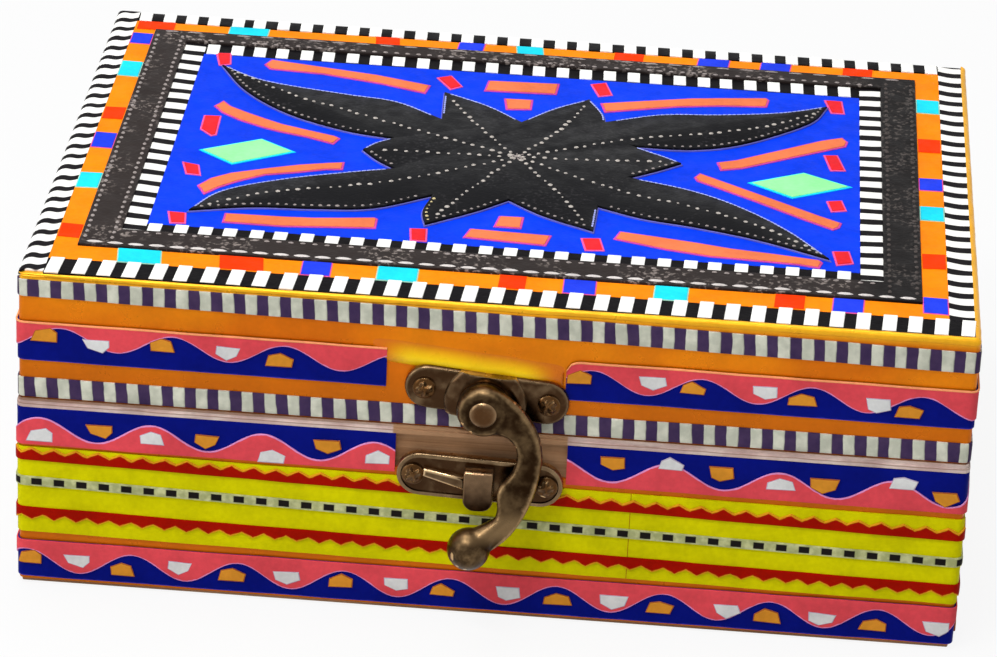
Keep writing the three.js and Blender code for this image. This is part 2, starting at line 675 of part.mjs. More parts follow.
const ZIGZAG = { height: 2.5, fromTop: 0.8, fromBottom: 2.0, slopeUpper: -0.0185, slopeLower: -0.0145 };
const DASH = { height: 1.8, slope: -0.019 };
const upperTip = LIME.z1 - ZIGZAG.fromTop;
const lowerTip = LIME.z0 + ZIGZAG.fromBottom;
const dashLow = (LIME.z0 + LIME.z1) / 2;
parts.base_red_zigzag_upper = toothedStrip(upperTip - ZIGZAG.height, upperTip, ZIGZAG.slopeUpper, true);
parts.base_red_zigzag_lower = toothedStrip(lowerTip + ZIGZAG.height, lowerTip, ZIGZAG.slopeLower, false);
parts.base_dash_strip = stripRing(2, false, dashLow, dashLow + DASH.height, DASH.slope);

// Latch, upper plate on the lid
const lidLayer1 = LID_FRONT + LAYER;
const upperBack = lidLayer1;
const upperFace = upperBack - PLATE;
const bossFace = upperFace - BOSS;
const hookBack = bossFace - HOOK_LIFT;
const hookFace = hookBack - HOOK_THICK;

function stadium(cx, cz, length, height, tiltDeg) {
  const shape = new THREE.Shape();
  const r = height / 2;
  const half = length / 2 - r;
  const tilt = (tiltDeg * Math.PI) / 180;
  const centre = (s) => [cx + s * half * Math.cos(tilt), cz + s * half * Math.sin(tilt)];
  const [rx, rz] = centre(1);
  const [lx, lz] = centre(-1);
  shape.absarc(rx, rz, r, tilt - Math.PI / 2, tilt + Math.PI / 2, false);
  shape.absarc(lx, lz, r, tilt + Math.PI / 2, tilt + Math.PI * 1.5, false);
  shape.closePath();
  return shape;
}

function plateScrews(plate) {
  const tilt = (plate.tilt * Math.PI) / 180;
  const fromCentre = plate.length / 2 - plate.screwIn;
  return [-1, 1].map((s) => [
    plate.x + s * fromCentre * Math.cos(tilt),
    plate.z + s * fromCentre * Math.sin(tilt),
  ]);
}

const PLATE_SEGMENTS = 10;
const upperShape = stadium(
  UPPER_PLATE.x, UPPER_PLATE.z, UPPER_PLATE.length, PLATE_HEIGHT, UPPER_PLATE.tilt,
);
const upperSlab = solid(alongY(upperShape, bossFace, upperBack, PLATE_SEGMENTS));
const bossCore = (r, y0, y1) => rodY(RIVET_X, RIVET_Z, r, y0, y1, 32);
const PLATE_BULGE_R = 5.2;
const upperPlate = join([
  solid(alongY(upperShape, upperFace, upperBack, PLATE_SEGMENTS)),
  bossCore(BOSS_R, bossFace, upperBack).intersect(upperSlab),
  bossCore(PLATE_BULGE_R, bossFace, upperBack),
]);

// Rivet
const rivetProfile = [
  [0, 0],
  [RIVET_TAIL_R, 0],
  [RIVET_TAIL_R, upperBack - bossFace],
  [RIVET_R, upperBack - bossFace],
  [RIVET_R, upperBack - hookFace],
  [RIVET_HEAD_R, upperBack - hookFace],
  [RIVET_HEAD_R, upperBack - hookFace + RIVET_HEAD * 0.55],
  [RIVET_HEAD_R * 0.8, upperBack - hookFace + RIVET_HEAD * 0.9],
  [0, upperBack - hookFace + RIVET_HEAD],
].map(([r, h]) => new THREE.Vector2(r, h));
const rivetGeometry = new THREE.LatheGeometry(rivetProfile, 20);
rivetGeometry.rotateX(Math.PI);
rivetGeometry.translate(RIVET_X, upperBack, RIVET_Z);
parts.latch_rivet = solid(rivetGeometry);
parts.latch_upper_plate = upperPlate.subtract(
  rodY(RIVET_X, RIVET_Z, RIVET_TAIL_R + PIN_FIT, bossFace - 1, upperBack + 1),
);

// Hook: its outline seen from the front, trimmed to its outline seen from the side.
// Both are drawn from the rivet, the first as right and up, the second as forward of the
// hook's face and up
const hookOutline = new THREE.Shape();
const fromRivet = (right, up) => [RIVET_X + right, RIVET_Z + up];
hookOutline.moveTo(...fromRivet(1.5, HOOK_DISC_R * 0.94));
hookOutline.bezierCurveTo(...fromRivet(6.9, 2.9), ...fromRivet(10.9, -3.7), ...fromRivet(10.5, -9.1));
hookOutline.bezierCurveTo(...fromRivet(10.2, -14.3), ...fromRivet(8.2, -18.7), ...fromRivet(5.9, -21.7));
hookOutline.lineTo(...fromRivet(2.7, -24.9));
hookOutline.lineTo(...fromRivet(-1.3, -26.7));
hookOutline.lineTo(...fromRivet(-3.1, -23.9));
hookOutline.lineTo(...fromRivet(-0.6, -22.4));
hookOutline.quadraticCurveTo(...fromRivet(1.7, -21.5), ...fromRivet(2.5, -19.8));
hookOutline.quadraticCurveTo(...fromRivet(3.6, -17.7), ...fromRivet(3.0, -16.1));
hookOutline.lineTo(...fromRivet(3.0, -12.9));
hookOutline.quadraticCurveTo(...fromRivet(6.0, -11.1), ...fromRivet(6.0, -7.7));
hookOutline.quadraticCurveTo(...fromRivet(6.0, -4.9), ...fromRivet(3.5, -4.1));
hookOutline.lineTo(...fromRivet(0, -HOOK_DISC_R * 0.9));
hookOutline.closePath();

const hookSide = outline([
  [0, 7.7], [HOOK_THICK, 7.7], [HOOK_THICK, -10.8], [HOOK_THICK + 2.3, -18.1], [HOOK_THICK + 3.7, -28.3],
  [3.5, -28.3], [2.2, -18.7], [0, -12.9],
].map(([forward, up]) => [hookBack - forward, RIVET_Z + up]));
const BALL = { right: -1.3, forward: 3.0, down: 24.7 };
const ballGeometry = new THREE.SphereGeometry(BALL_R, 16, 10);
ballGeometry.translate(RIVET_X + BALL.right, hookFace - BALL.forward, RIVET_Z - BALL.down);
const hookReach = 4 * BALL_R;
const hookArm = solid(alongY(hookOutline, hookFace - hookReach, hookBack + hookReach, 8))
  .intersect(solid(alongX(hookSide, RIVET_X - hookReach, RIVET_X + hookReach)));
parts.latch_hook = join([
  hookArm,
  rodY(RIVET_X, RIVET_Z, HOOK_DISC_R, hookFace, bossFace, 32),
  solid(ballGeometry),
]).subtract(rodY(RIVET_X, RIVET_Z, RIVET_R + PIN_FIT, hookFace - 1, bossFace + 1, 24));

// Latch, lower plate on the base, with the nose that the hook reaches round
const lowerBack = -HALF_D;
const lowerFace = lowerBack - PLATE;
const noseFace = lowerBack - NOSE_PROUD;
const NOSE_DOWN = 4.8;
const NOSE_UP = 2.7;
const NOSE = {
  x0: -4.25,
  x1: 1.0,
  z0: LOWER_PLATE.z - NOSE_DOWN,
  z1: LOWER_PLATE.z + NOSE_UP,
  root: 1.3,
  heel: 0.6,
  corner: 2.1,
  ease: 0.7,
};
const OFF_COVER = 0.2;
const plateInside = lowerBack - OFF_COVER;
const noseShape = new THREE.Shape();
noseShape.moveTo(NOSE.x0 + NOSE.corner, NOSE.z0);
noseShape.lineTo(NOSE.x1 - NOSE.corner, NOSE.z0);
noseShape.quadraticCurveTo(NOSE.x1, NOSE.z0, NOSE.x1, NOSE.z0 + NOSE.corner);
noseShape.lineTo(NOSE.x1, NOSE.z1);
noseShape.lineTo(NOSE.x0, NOSE.z1);
noseShape.lineTo(NOSE.x0, NOSE.z0 + NOSE.corner);
noseShape.quadraticCurveTo(NOSE.x0, NOSE.z0, NOSE.x0 + NOSE.corner, NOSE.z0);
const noseTab = solid(alongY(noseShape, noseFace, noseFace + NOSE_THICK));
const noseSide = outline([
  [plateInside, NOSE.z1],
  [noseFace + NOSE.ease, NOSE.z1],
  [noseFace, NOSE.z1 - NOSE.ease],
  [noseFace, NOSE.z1 - NOSE.root - NOSE.heel],
  [plateInside, NOSE.z1 - NOSE.root],
]);
const RIB = { x0: -11.2, x1: -4.0, rise: 1.2, fall: 0.4, thin: 1.0, broad: 2.4, proud: 0.9 };
const ribStart = LOWER_PLATE.z + RIB.rise;
const ribEnd = LOWER_PLATE.z - RIB.fall;
const ribShape = outline([
  [RIB.x0, ribStart - RIB.thin / 2], [RIB.x1, ribEnd - RIB.broad / 2],
  [RIB.x1, ribEnd + RIB.broad / 2], [RIB.x0, ribStart + RIB.thin / 2],
]);
const lowerShape = stadium(
  LOWER_PLATE.x, LOWER_PLATE.z, LOWER_PLATE.length, PLATE_HEIGHT, LOWER_PLATE.tilt,
);
const RIM_PROUD = 0.3;
const lowerInner = stadium(
  LOWER_PLATE.x, LOWER_PLATE.z,
  LOWER_PLATE.length - 2 * PLATE_RIM, PLATE_HEIGHT - 2 * PLATE_RIM, LOWER_PLATE.tilt,
);
const noseCorner = box(
  NOSE.x0 - 1, NOSE.x1 + 1, noseFace - 1, noseFace + NOSE.ease, NOSE.z1 - NOSE.ease, NOSE.z1 + 1,
);
parts.latch_lower_plate = join([
  solid(alongY(lowerShape, lowerFace - RIM_PROUD, lowerBack, PLATE_SEGMENTS))
    .subtract(solid(alongY(lowerInner, lowerFace - 2, lowerFace, PLATE_SEGMENTS))),
  solid(alongY(ribShape, lowerFace - RIB.proud, plateInside)),
  noseTab.subtract(noseCorner).add(solid(alongX(noseSide, NOSE.x0, NOSE.x1))),
]);

// Screws: domed head with a cross recess, and a plain shank
function screw({ headR, head, shankR, shank }, x, ySeat, z, outward) {
  const profile = [
    [0, -shank], [shankR, -shank + shankR], [shankR, 0], [headR, 0],
    [headR, head * 0.35], [headR * 0.6, head], [0, head],
  ].map(([r, h]) => new THREE.Vector2(r, h));
  const geometry = new THREE.LatheGeometry(profile, SCREW_SIDES);
  const recess = new THREE.BoxGeometry(headR * 1.2, head, headR * 0.26);
  recess.translate(0, head * 0.45 + head / 2, 0);
  const crossing = recess.clone();
  crossing.rotateY(Math.PI / 2);
  const whole = [geometry, recess, crossing].map((g) => {
    if (outward < 0) {
      g.rotateX(Math.PI);
    }
    g.translate(x, ySeat, z);
    return solid(g);
  });
  return whole[0].subtract(whole[1].add(whole[2]));
}

function drill(names, x, z, r, y0, y1) {
  const hole = rodY(x, z, r, y0, y1, SCREW_SIDES);
  for (const name of names) {
    parts[name] = parts[name].subtract(hole);
  }
}

const DRILL_OUT = 4;
const TIP_ROOM = 0.4;
const latchHole = LATCH_SCREW.shankR + SCREW_FIT;
const latchReach = (seat) => [seat - DRILL_OUT, seat + LATCH_SCREW.shank + TIP_ROOM];
plateScrews(UPPER_PLATE).forEach(([x, z], i) => {
  parts[`latch_screw_upper_${i ? 'right' : 'left'}`] = screw(LATCH_SCREW, x, upperFace, z, -1);
  const behindUpper = ['latch_upper_plate', 'lid_cover', 'lid_front_rail'];
  drill(behindUpper, x, z, latchHole, ...latchReach(upperFace));
});
plateScrews(LOWER_PLATE).forEach(([x, z], i) => {
  parts[`latch_screw_lower_${i ? 'right' : 'left'}`] = screw(LATCH_SCREW, x, lowerFace, z, -1);
  const behindLower = ['latch_lower_plate', 'base_cover', 'base_lime_band', 'base_front_wall'];
  drill(behindLower, x, z, latchHole, ...latchReach(lowerFace));
});

// Hinges on the back
const hingeSeat = HALF_D - LAYER;
const axisY = hingeSeat + HINGE_AXIS_OFFSET;
const leafOut = hingeSeat + HINGE_LEAF;
const half = HINGE_LENGTH / 2;
const halfCentre = CENTRE_KNUCKLE / 2;
const outerKnuckles = [[-half, -halfCentre - KNUCKLE_GAP], [halfCentre + KNUCKLE_GAP, half]];
const centreKnuckle = [[-halfCentre, halfCentre]];
const LEAF_GAP = 0.15;
const KNUCKLE_CLEAR = 0.3;

function hingeLeaf(cx, own, others, z0, z1) {
  const knuckles = own.map(([a, b]) => rodX(axisY, SEAM_Z, KNUCKLE_R, cx + a, cx + b));
  const plate = box(cx - half, cx + half, hingeSeat, leafOut, z0, z1);
  const relief = others.map(([a, b]) => rodX(
    axisY, SEAM_Z, KNUCKLE_R + KNUCKLE_CLEAR, cx + a - KNUCKLE_GAP, cx + b + KNUCKLE_GAP,
  ));
  const bore = rodX(axisY, SEAM_Z, HINGE_PIN_R + PIN_FIT, cx - half - 1, cx + half + 1);
  return join([plate.subtract(join(relief)), ...knuckles]).subtract(bore);
}

function hingePin(cx) {
  return join([
    rodX(axisY, SEAM_Z, HINGE_PIN_R, cx - half - PIN_HEAD / 2, cx + half + PIN_HEAD / 2),
    rodX(axisY, SEAM_Z, PIN_HEAD_R, cx - half - PIN_HEAD, cx - half),
    rodX(axisY, SEAM_Z, PIN_HEAD_R, cx + half, cx + half + PIN_HEAD),
  ]);
}

const hingeHole = HINGE_SCREW.shankR + SCREW_FIT;
const HINGE_SCREW_X = 6.4;
const HINGE_SCREW_Z = 5.2;
const backReach = [leafOut - HINGE_SCREW.shank - TIP_ROOM, leafOut + DRILL_OUT];
const leafLow = SEAM_Z - HINGE_LEAF_HEIGHT;
const leafHigh = SEAM_Z + HINGE_LEAF_HEIGHT;
for (const [word, cx] of [['left', -HINGE_X], ['right', HINGE_X]]) {
  const baseLeaf = `hinge_${word}_base_leaf`;
  const lidLeaf = `hinge_${word}_lid_leaf`;
  parts[baseLeaf] = hingeLeaf(cx, outerKnuckles, centreKnuckle, leafLow, SEAM_Z - LEAF_GAP);
  parts[lidLeaf] = hingeLeaf(cx, centreKnuckle, outerKnuckles, SEAM_Z + LEAF_GAP, leafHigh);
  parts[`hinge_${word}_pin`] = hingePin(cx);
  const footprint = box(
    cx - half - STRIP_GAP, cx + half + STRIP_GAP, HALF_D - LAYER, HALF_D + 2,
    leafLow - STRIP_GAP, leafHigh + STRIP_GAP,
  );
  for (const name of ['base_wave_upper_pink', 'lid_wave_pink']) {
    parts[name] = parts[name].subtract(footprint);
  }
  for (const [side, sign] of [['inner', -Math.sign(cx)], ['outer', Math.sign(cx)]]) {
    const x = cx + sign * HINGE_SCREW_X;
    const low = SEAM_Z - HINGE_SCREW_Z;
    const high = SEAM_Z + HINGE_SCREW_Z;
    parts[`hinge_${word}_base_screw_${side}`] = screw(HINGE_SCREW, x, leafOut, low, 1);
    parts[`hinge_${word}_lid_screw_${side}`] = screw(HINGE_SCREW, x, leafOut, high, 1);
    const behindBase = [baseLeaf, 'base_wave_upper_blue', 'base_cover', 'base_back_wall'];
    drill(behindBase, x, low, hingeHole, ...backReach);
    drill([lidLeaf, 'lid_cover', 'lid_back_rail'], x, high, hingeHole, ...backReach);
  }
}

// Colours, roughness and metalness, read from the front of the name
const looks = [
  [/^base_.*(wall|panel)$/, 0x9a7b5a, 0.8, 0],
  [/^lid_.*(rail|panel)$/, 0x9a7b5a, 0.8, 0],
  [/^base_rim_edging$/, 0xc8aa8c, 0.7, 0],
  [/_cover$/, 0xd67c12, 0.32, 0.45],
  [/^top_leather_frame$|^top_flower$/, 0x29272a, 0.62, 0],
  [/^top_blue_field$/, 0x0f49e8, 0.45, 0],
  [/^top_block_border$/, 0xff8a12, 0.45, 0],
  [/zebra|check/, 0xf4f1e6, 0.5, 0],
  [/stripe_band/, 0xafb7a6, 0.5, 0],
  [/dash/, 0xc3cf97, 0.5, 0],
  [/blue$/, 0x0c1a82, 0.4, 0],
  [/pink$/, 0xd0485a, 0.45, 0],
  [/lime/, 0xb3bc08, 0.4, 0],
  [/zigzag/, 0xac1a02, 0.45, 0],
  [/^latch_screw/, 0x8e7a55, 0.35, 0.9],
  [/^latch/, 0x4d3b2a, 0.38, 0.85],
  [/screw/, 0x8a7550, 0.4, 0.85],
  [/^hinge/, 0x6e5a3c, 0.42, 0.85],
];

function look(name) {
  const [, color, roughness, metalness] = looks.find(([pattern]) => pattern.test(name));
  return new THREE.MeshStandardMaterial({ color, roughness, metalness });
}

const group = new THREE.Group();
group.name = 'decorative_storage_box';
for (const [name, body] of Object.entries(parts)) {
  const mesh = new THREE.Mesh(surface(body), look(name));
  mesh.name = name;
  group.add(mesh);
}

export default group;
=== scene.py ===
"""Decorative storage box: golden foil, leather strips and inlay, and a swing latch."""
import math

import bmesh
import bpy
from mathutils import Matrix, Vector, noise


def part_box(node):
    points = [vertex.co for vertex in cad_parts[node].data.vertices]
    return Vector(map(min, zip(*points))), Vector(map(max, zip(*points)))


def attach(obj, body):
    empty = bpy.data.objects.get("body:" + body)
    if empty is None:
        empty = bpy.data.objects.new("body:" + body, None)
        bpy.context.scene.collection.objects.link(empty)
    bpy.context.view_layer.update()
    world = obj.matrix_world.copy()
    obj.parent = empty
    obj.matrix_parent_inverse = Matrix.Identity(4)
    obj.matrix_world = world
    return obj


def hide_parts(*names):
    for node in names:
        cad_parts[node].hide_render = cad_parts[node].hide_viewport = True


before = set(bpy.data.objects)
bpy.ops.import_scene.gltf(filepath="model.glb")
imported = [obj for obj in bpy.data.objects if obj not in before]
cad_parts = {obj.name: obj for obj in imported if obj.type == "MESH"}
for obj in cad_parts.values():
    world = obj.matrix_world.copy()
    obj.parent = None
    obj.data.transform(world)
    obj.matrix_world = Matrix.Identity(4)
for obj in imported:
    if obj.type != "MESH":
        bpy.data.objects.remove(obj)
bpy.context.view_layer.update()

# Sizes are in millimetres and shrink to metres when a mesh is made
MM = 0.001
HALF_W = 82.5
HALF_D = 60.0
BASE_FRONT = -60.0
LID_FRONT = -59.2
LAYER = 0.3
CORNER_ROUND = 1.6
STRIP_TOP = 60.0
FRAME_TOP = 60.5
WINDOW_LEFT, WINDOW_RIGHT = -16.9, 13.2
FOLD_MIDDLE = -4.5
FULL_TURN = 2 * math.pi


def round_of(front):
    """Way once round the box, whose front lies at y = front."""
    return 2 * (2 * HALF_W + HALF_D - front)


LID_ROUND = round_of(LID_FRONT)
BASE_ROUND = round_of(BASE_FRONT)


def node_box(name):
    """Lowest and highest corner of a model node in millimetres."""
    low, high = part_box(name)
    return low / MM, high / MM


def tint(red, green, blue):
    """Screen colour from 0 to 255 as a node colour."""
    def linear(level):
        level /= 255
        return level / 12.92 if level <= 0.04045 else ((level + 0.055) / 1.055) ** 2.4
    return (linear(red), linear(green), linear(blue), 1.0)


def drift(x, y, z):
    """Smooth unevenness between about -1 and 1, the same each time."""
    return noise.noise(Vector((x, y, z)))


def placed(name, data):
    """Object of the scene for a mesh, a lamp or a camera."""
    made = bpy.data.objects.new(name, data)
    bpy.context.scene.collection.objects.link(made)
    return made


class Finish:
    """Material whose patterns are laid out in millimetres."""

    def __init__(self, name, roughness=0.45, metallic=0.0, coat=0.0, shine=0.025):
        self.material = bpy.data.materials.new(name)
        self.material.use_nodes = True
        self.nodes = self.material.node_tree.nodes
        self.links = self.material.node_tree.links
        self.shader = self.nodes["Principled BSDF"]
        for socket, value in (("Roughness", roughness), ("Metallic", metallic), ("Coat Weight", coat),
                              ("Coat Roughness", 0.2), ("Specular IOR Level", shine)):
            self.shader.inputs[socket].default_value = value
        self.base_roughness = roughness
        coords = self.nodes.new("ShaderNodeTexCoord")
        self.place = self.moved(coords.outputs["Object"], (1 / MM, 1 / MM, 1 / MM))
        self.x, self.y, self.z = self.split(self.place)
        self.u, self.v, _ = self.split(coords.outputs["UV"])

    def feed(self, socket, value):
        """Link another node's output to a socket, or set the socket's own value."""
        if isinstance(value, bpy.types.NodeSocket):
            self.links.new(value, socket)
        else:
            socket.default_value = value

    def moved(self, vector, scale):
        """Place stretched by a scale for each axis."""
        node = self.nodes.new("ShaderNodeMapping")
        node.inputs["Scale"].default_value = scale
        self.links.new(vector, node.inputs["Vector"])
        return node.outputs["Vector"]

    def split(self, vector):
        """The three parts of a place."""
        node = self.nodes.new("ShaderNodeSeparateXYZ")
        self.links.new(vector, node.inputs[0])
        return node.outputs

    def sum(self, operation, *values):
        """Result of one operation on numbers or node outputs."""
        node = self.nodes.new("ShaderNodeMath")
        node.operation = operation
        for socket, value in zip(node.inputs, values):
            self.feed(socket, value)
        return node.outputs[0]

    def noise(self, size, detail=3.0, stretch=(1, 1, 1)):
        """Cloudy grey with lumps about size millimetres across."""
        node = self.nodes.new("ShaderNodeTexNoise")
        node.inputs["Scale"].default_value = 1 / size
        node.inputs["Detail"].default_value = detail
        vector = self.place if stretch == (1, 1, 1) else self.moved(self.place, stretch)
        self.links.new(vector, node.inputs["Vector"])
        return node.outputs["Fac"]

    def cells(self, size):
        """Pebbled grain with cells about size millimetres across."""
        node = self.nodes.new("ShaderNodeTexVoronoi")
        node.feature = "SMOOTH_F1"
        node.inputs["Scale"].default_value = 1 / size
        self.links.new(self.place, node.inputs["Vector"])
        return node.outputs["Distance"]

    def ramp(self, value, low, high, to_low=0.0, to_high=1.0):
        """Soft step from to_low to to_high while value goes from low to high."""
        node = self.nodes.new("ShaderNodeMapRange")
        node.interpolation_type = "SMOOTHSTEP"
        for socket, given in zip(node.inputs, (value, low, high, to_low, to_high)):
            self.feed(socket, given)
        return node.outputs[0]

    def within(self, value, low, high, soft=0.05):
        """One where value lies between low and high."""
        rise = self.ramp(value, low - soft, low + soft)
        return self.sum("MULTIPLY", rise, self.ramp(value, high - soft, high + soft, 1.0, 0.0))

    def stripes(self, value, pitch, width, soft=0.06):
        """One where value lies within half a width of a multiple of pitch."""
        turn = self.sum("PINGPONG", value, pitch / 2)
        return self.ramp(turn, width / 2 - soft, width / 2 + soft, 1.0, 0.0)

    def mix(self, amount, first, second):
        """Colour between first and second by amount."""
        node = self.nodes.new("ShaderNodeMix")
        node.data_type = "RGBA"
        self.feed(node.inputs[0], amount)
        self.feed(node.inputs[6], first)
        self.feed(node.inputs[7], second)
        return node.outputs[2]

    def clouded(self, cloud, first, second, low=0.35, high=0.7):
        """Colour that drifts from first to second with a cloudy grey."""
        return self.mix(self.ramp(cloud, low, high), first, second)

    def shaded(self, colour, factor):
        """Colour made darker or lighter by a factor."""
        node = self.nodes.new("ShaderNodeHueSaturation")
        self.feed(node.inputs["Value"], factor)
        self.feed(node.inputs["Color"], colour)
        return node.outputs[0]

    def relief(self, *layers):
        """Bump from pairs of a height and its depth in millimetres."""
        total = 0.0
        for height, depth in layers:
            total = self.sum("MULTIPLY_ADD", height, depth, total)
        bump = self.nodes.new("ShaderNodeBump")
        bump.inputs["Distance"].default_value = MM
        self.links.new(total, bump.inputs["Height"])
        self.links.new(bump.outputs[0], self.shader.inputs["Normal"])

    def leather(self, colour, mottle=0.12, grain=0.02, lumps=0.05, extra=()):
        """Colour with a little unevenness, fine grain and patchy shine."""
        cloud = self.noise(7.0, detail=5.0)
        fine = self.noise(0.9, detail=4.0)
        factor = self.sum("ADD", self.ramp(cloud, 0.3, 0.7, 1 - mottle, 1 + mottle / 2),
                          self.ramp(fine, 0.3, 0.7, -mottle / 3, mottle / 3))
        self.feed(self.shader.inputs["Base Color"], self.shaded(colour, factor))
        rough = self.ramp(self.noise(3.0), 0.3, 0.7,
                          self.base_roughness - 0.08, self.base_roughness + 0.1)
        self.feed(self.shader.inputs["Roughness"], rough)
        self.relief((self.cells(0.55), grain), (cloud, lumps), (fine, grain), *extra)
        return self.material


def plain_leather(name, colour, edge=None, edge_width=0.3, roughness=0.42):
    """Dyed leather, with a paler cut edge where UV gives the way to the edge."""
    finish = Finish(name, roughness=roughness)
    if edge:
        width = finish.ramp(finish.noise(1.5), 0.2, 0.8, edge_width * 0.6, edge_width * 1.4)
        away = finish.sum("ABSOLUTE", finish.v)
        line = finish.ramp(away, finish.sum("MULTIPLY", width, 0.5), width, 1.0, 0.0)
        colour = finish.mix(line, colour, edge)
    return finish.leather(colour)


# Where along X the black leather turns darker, with fewer pale specks
DARKER_FROM, DARKER_TO = 58.0, 66.0


def rubbed_leather(name, colour, grey, share):
    """Glossy dark leather with pale scuffed specks, of which few are left at the right."""
    finish = Finish(name, roughness=0.4, shine=0.05)
    specks = finish.ramp(finish.noise(0.8, detail=4.0), 0.64 - share, 0.8 - share, 0.0, 0.5)
    patches = finish.ramp(finish.noise(9.0, detail=3.0), 0.42, 0.62)
    darker_right = finish.ramp(finish.x, DARKER_FROM, DARKER_TO)
    fewer = finish.ramp(finish.x, DARKER_FROM, DARKER_TO, 1.0, 0.3)
    specks = finish.sum("MULTIPLY", finish.sum("MULTIPLY", specks, patches), fewer)
    # Darker towards the right
    scuffed = finish.mix(specks, finish.mix(darker_right, colour, tint(20, 17, 17)), grey)
    return finish.leather(scuffed, grain=0.03)


# Heights over which the foil's painted shade, low on the lid and behind its waves, fades out, and over
# which a painted highlight comes in by its upper edge
FOIL_SHADE_FADE, FOIL_HIGHLIGHT = (41.0, 47.0), (57.6, 59.4)


def golden_foil(name):
    """Creased golden foil, with painted shade low on the lid and a painted highlight along its upper edge.
    """
    finish = Finish(name, roughness=0.34, metallic=0.35, coat=0.05, shine=0.1)
    cloud = finish.noise(16.0, detail=3.0, stretch=(0.4, 0.4, 1))
    colour = finish.clouded(cloud, tint(214, 108, 0), tint(236, 138, 2))
    # Painted shade: the foil is darker low down, on the base and the lid's lower part
    colour = finish.mix(finish.ramp(finish.z, *FOIL_SHADE_FADE), tint(202, 103, 0), colour)
    # Painted highlight: the foil is lighter along the lid's rolled upper edge
    colour = finish.mix(finish.ramp(finish.z, *FOIL_HIGHLIGHT), colour, tint(240, 174, 30))
    creases = finish.noise(4.0, detail=1.5, stretch=(0.25, 0.25, 1))
    return finish.leather(colour, mottle=0.08, grain=0.0, lumps=0.03, extra=[(creases, 0.12)])


def swollen_foil(name):
    """Foil pulled up by the latch, with a painted yellow highlight along its crest."""
    finish = Finish(name, roughness=0.3, metallic=0.05, coat=0.15, shine=0.15)
    off = finish.sum("ABSOLUTE", finish.sum("ADD", finish.u, -FOLD_MIDDLE))
    along = finish.ramp(off, 9.0, 15.5, 1.0, 0.0)
    # Painted highlight: yellow along the crest, fading towards the swelling's ends
    crest = finish.sum("MULTIPLY", finish.ramp(finish.v, 0.0, 1.7), along)
    colour = finish.mix(crest, tint(216, 112, 0), tint(255, 213, 8))
    return finish.leather(colour, mottle=0.05, grain=0.0, lumps=0.02)


# Pitch of the zebra stripes, and the length of one sway in them
ZEBRA_PITCH, SWAY_LENGTH = 4.6, 3.4


def zebra_leather(name, middle, tilt, bend, sway, width):
    """White leather with black stripes across a strip whose middle lies at x."""
    finish = Finish(name, roughness=0.42)
    off = finish.sum("SUBTRACT", finish.x, middle)
    line = finish.sum("MULTIPLY_ADD", off, -tilt, finish.y)
    line = finish.sum("MULTIPLY_ADD", finish.sum("MULTIPLY", off, off), -bend, line)
    swing = finish.sum("SINE", finish.sum("MULTIPLY", off, FULL_TURN / SWAY_LENGTH))
    line = finish.sum("MULTIPLY_ADD", swing, sway, line)
    line = finish.sum("MULTIPLY_ADD", finish.noise(9.0, detail=2.0), 1.4, line)
    black = finish.stripes(line, ZEBRA_PITCH, width, soft=0.09)
    colour = finish.mix(black, tint(244, 242, 236), tint(20, 17, 20))
    return finish.leather(colour, mottle=0.06, extra=[(black, 0.12)])


def striped_leather(name, pitch, dark):
    """Grey white and navy stripes along UV."""
    finish = Finish(name, roughness=0.4)
    lean = finish.sum("MULTIPLY_ADD", finish.noise(5.0, detail=2.0), 0.7, finish.u)
    lean = finish.sum("MULTIPLY_ADD", finish.v, 0.05, lean)
    stripe = finish.stripes(lean, pitch, dark, soft=0.09)
    off = finish.sum("SUBTRACT", finish.stripes(lean, pitch, dark, soft=0.28), 0.5)
    seam = finish.sum("SUBTRACT", 1.0, finish.sum("ABSOLUTE", off))
    purple = finish.mix(finish.noise(2.0), tint(50, 37, 74), tint(84, 64, 96))
    white = finish.clouded(finish.noise(2.6), tint(194, 196, 178), tint(220, 220, 202))
    colour = finish.mix(stripe, white, purple)
    return finish.leather(colour, mottle=0.1, extra=[(stripe, -0.08), (seam, -0.1)])


def dashed_leather(name, pitch, dash):
    """Pale leather with black dashes along UV, clear of the strip's edges."""
    finish = Finish(name, roughness=0.42)
    along = finish.stripes(finish.u, pitch, dash, soft=0.09)
    tall = finish.within(finish.v, 0.3, 1.55, soft=0.09)
    black = finish.sum("MULTIPLY", along, tall)
    white = finish.clouded(finish.noise(1.4), tint(168, 172, 118), tint(202, 204, 150))
    return finish.leather(finish.mix(black, white, tint(30, 26, 24)), extra=[(black, -0.1)])


def bare_wood(name):
    """Unpainted tan wood, its grain along X."""
    finish = Finish(name, roughness=0.68)
    rings = finish.noise(2.4, detail=6.0, stretch=(0.03, 0.45, 1))
    fibres = finish.noise(0.4, detail=4.0, stretch=(0.02, 1, 1))
    colour = finish.clouded(rings, tint(152, 111, 77), tint(182, 142, 106), 0.32, 0.68)
    colour = finish.mix(finish.ramp(fibres, 0.55, 0.75, 0.0, 0.45), colour, tint(112, 78, 50))
    return finish.leather(colour, mottle=0.08, grain=0.02, extra=[(fibres, 0.06)])


# Heights of the painted shade in the edging's crease and on its ledge, and where it ends behind the latch
EDGING_CREASE_SHADE, EDGING_LEDGE_SHADE, WORN_BACK = (35.65, 35.85), (35.95, 36.1), (-57.0, -56.0)


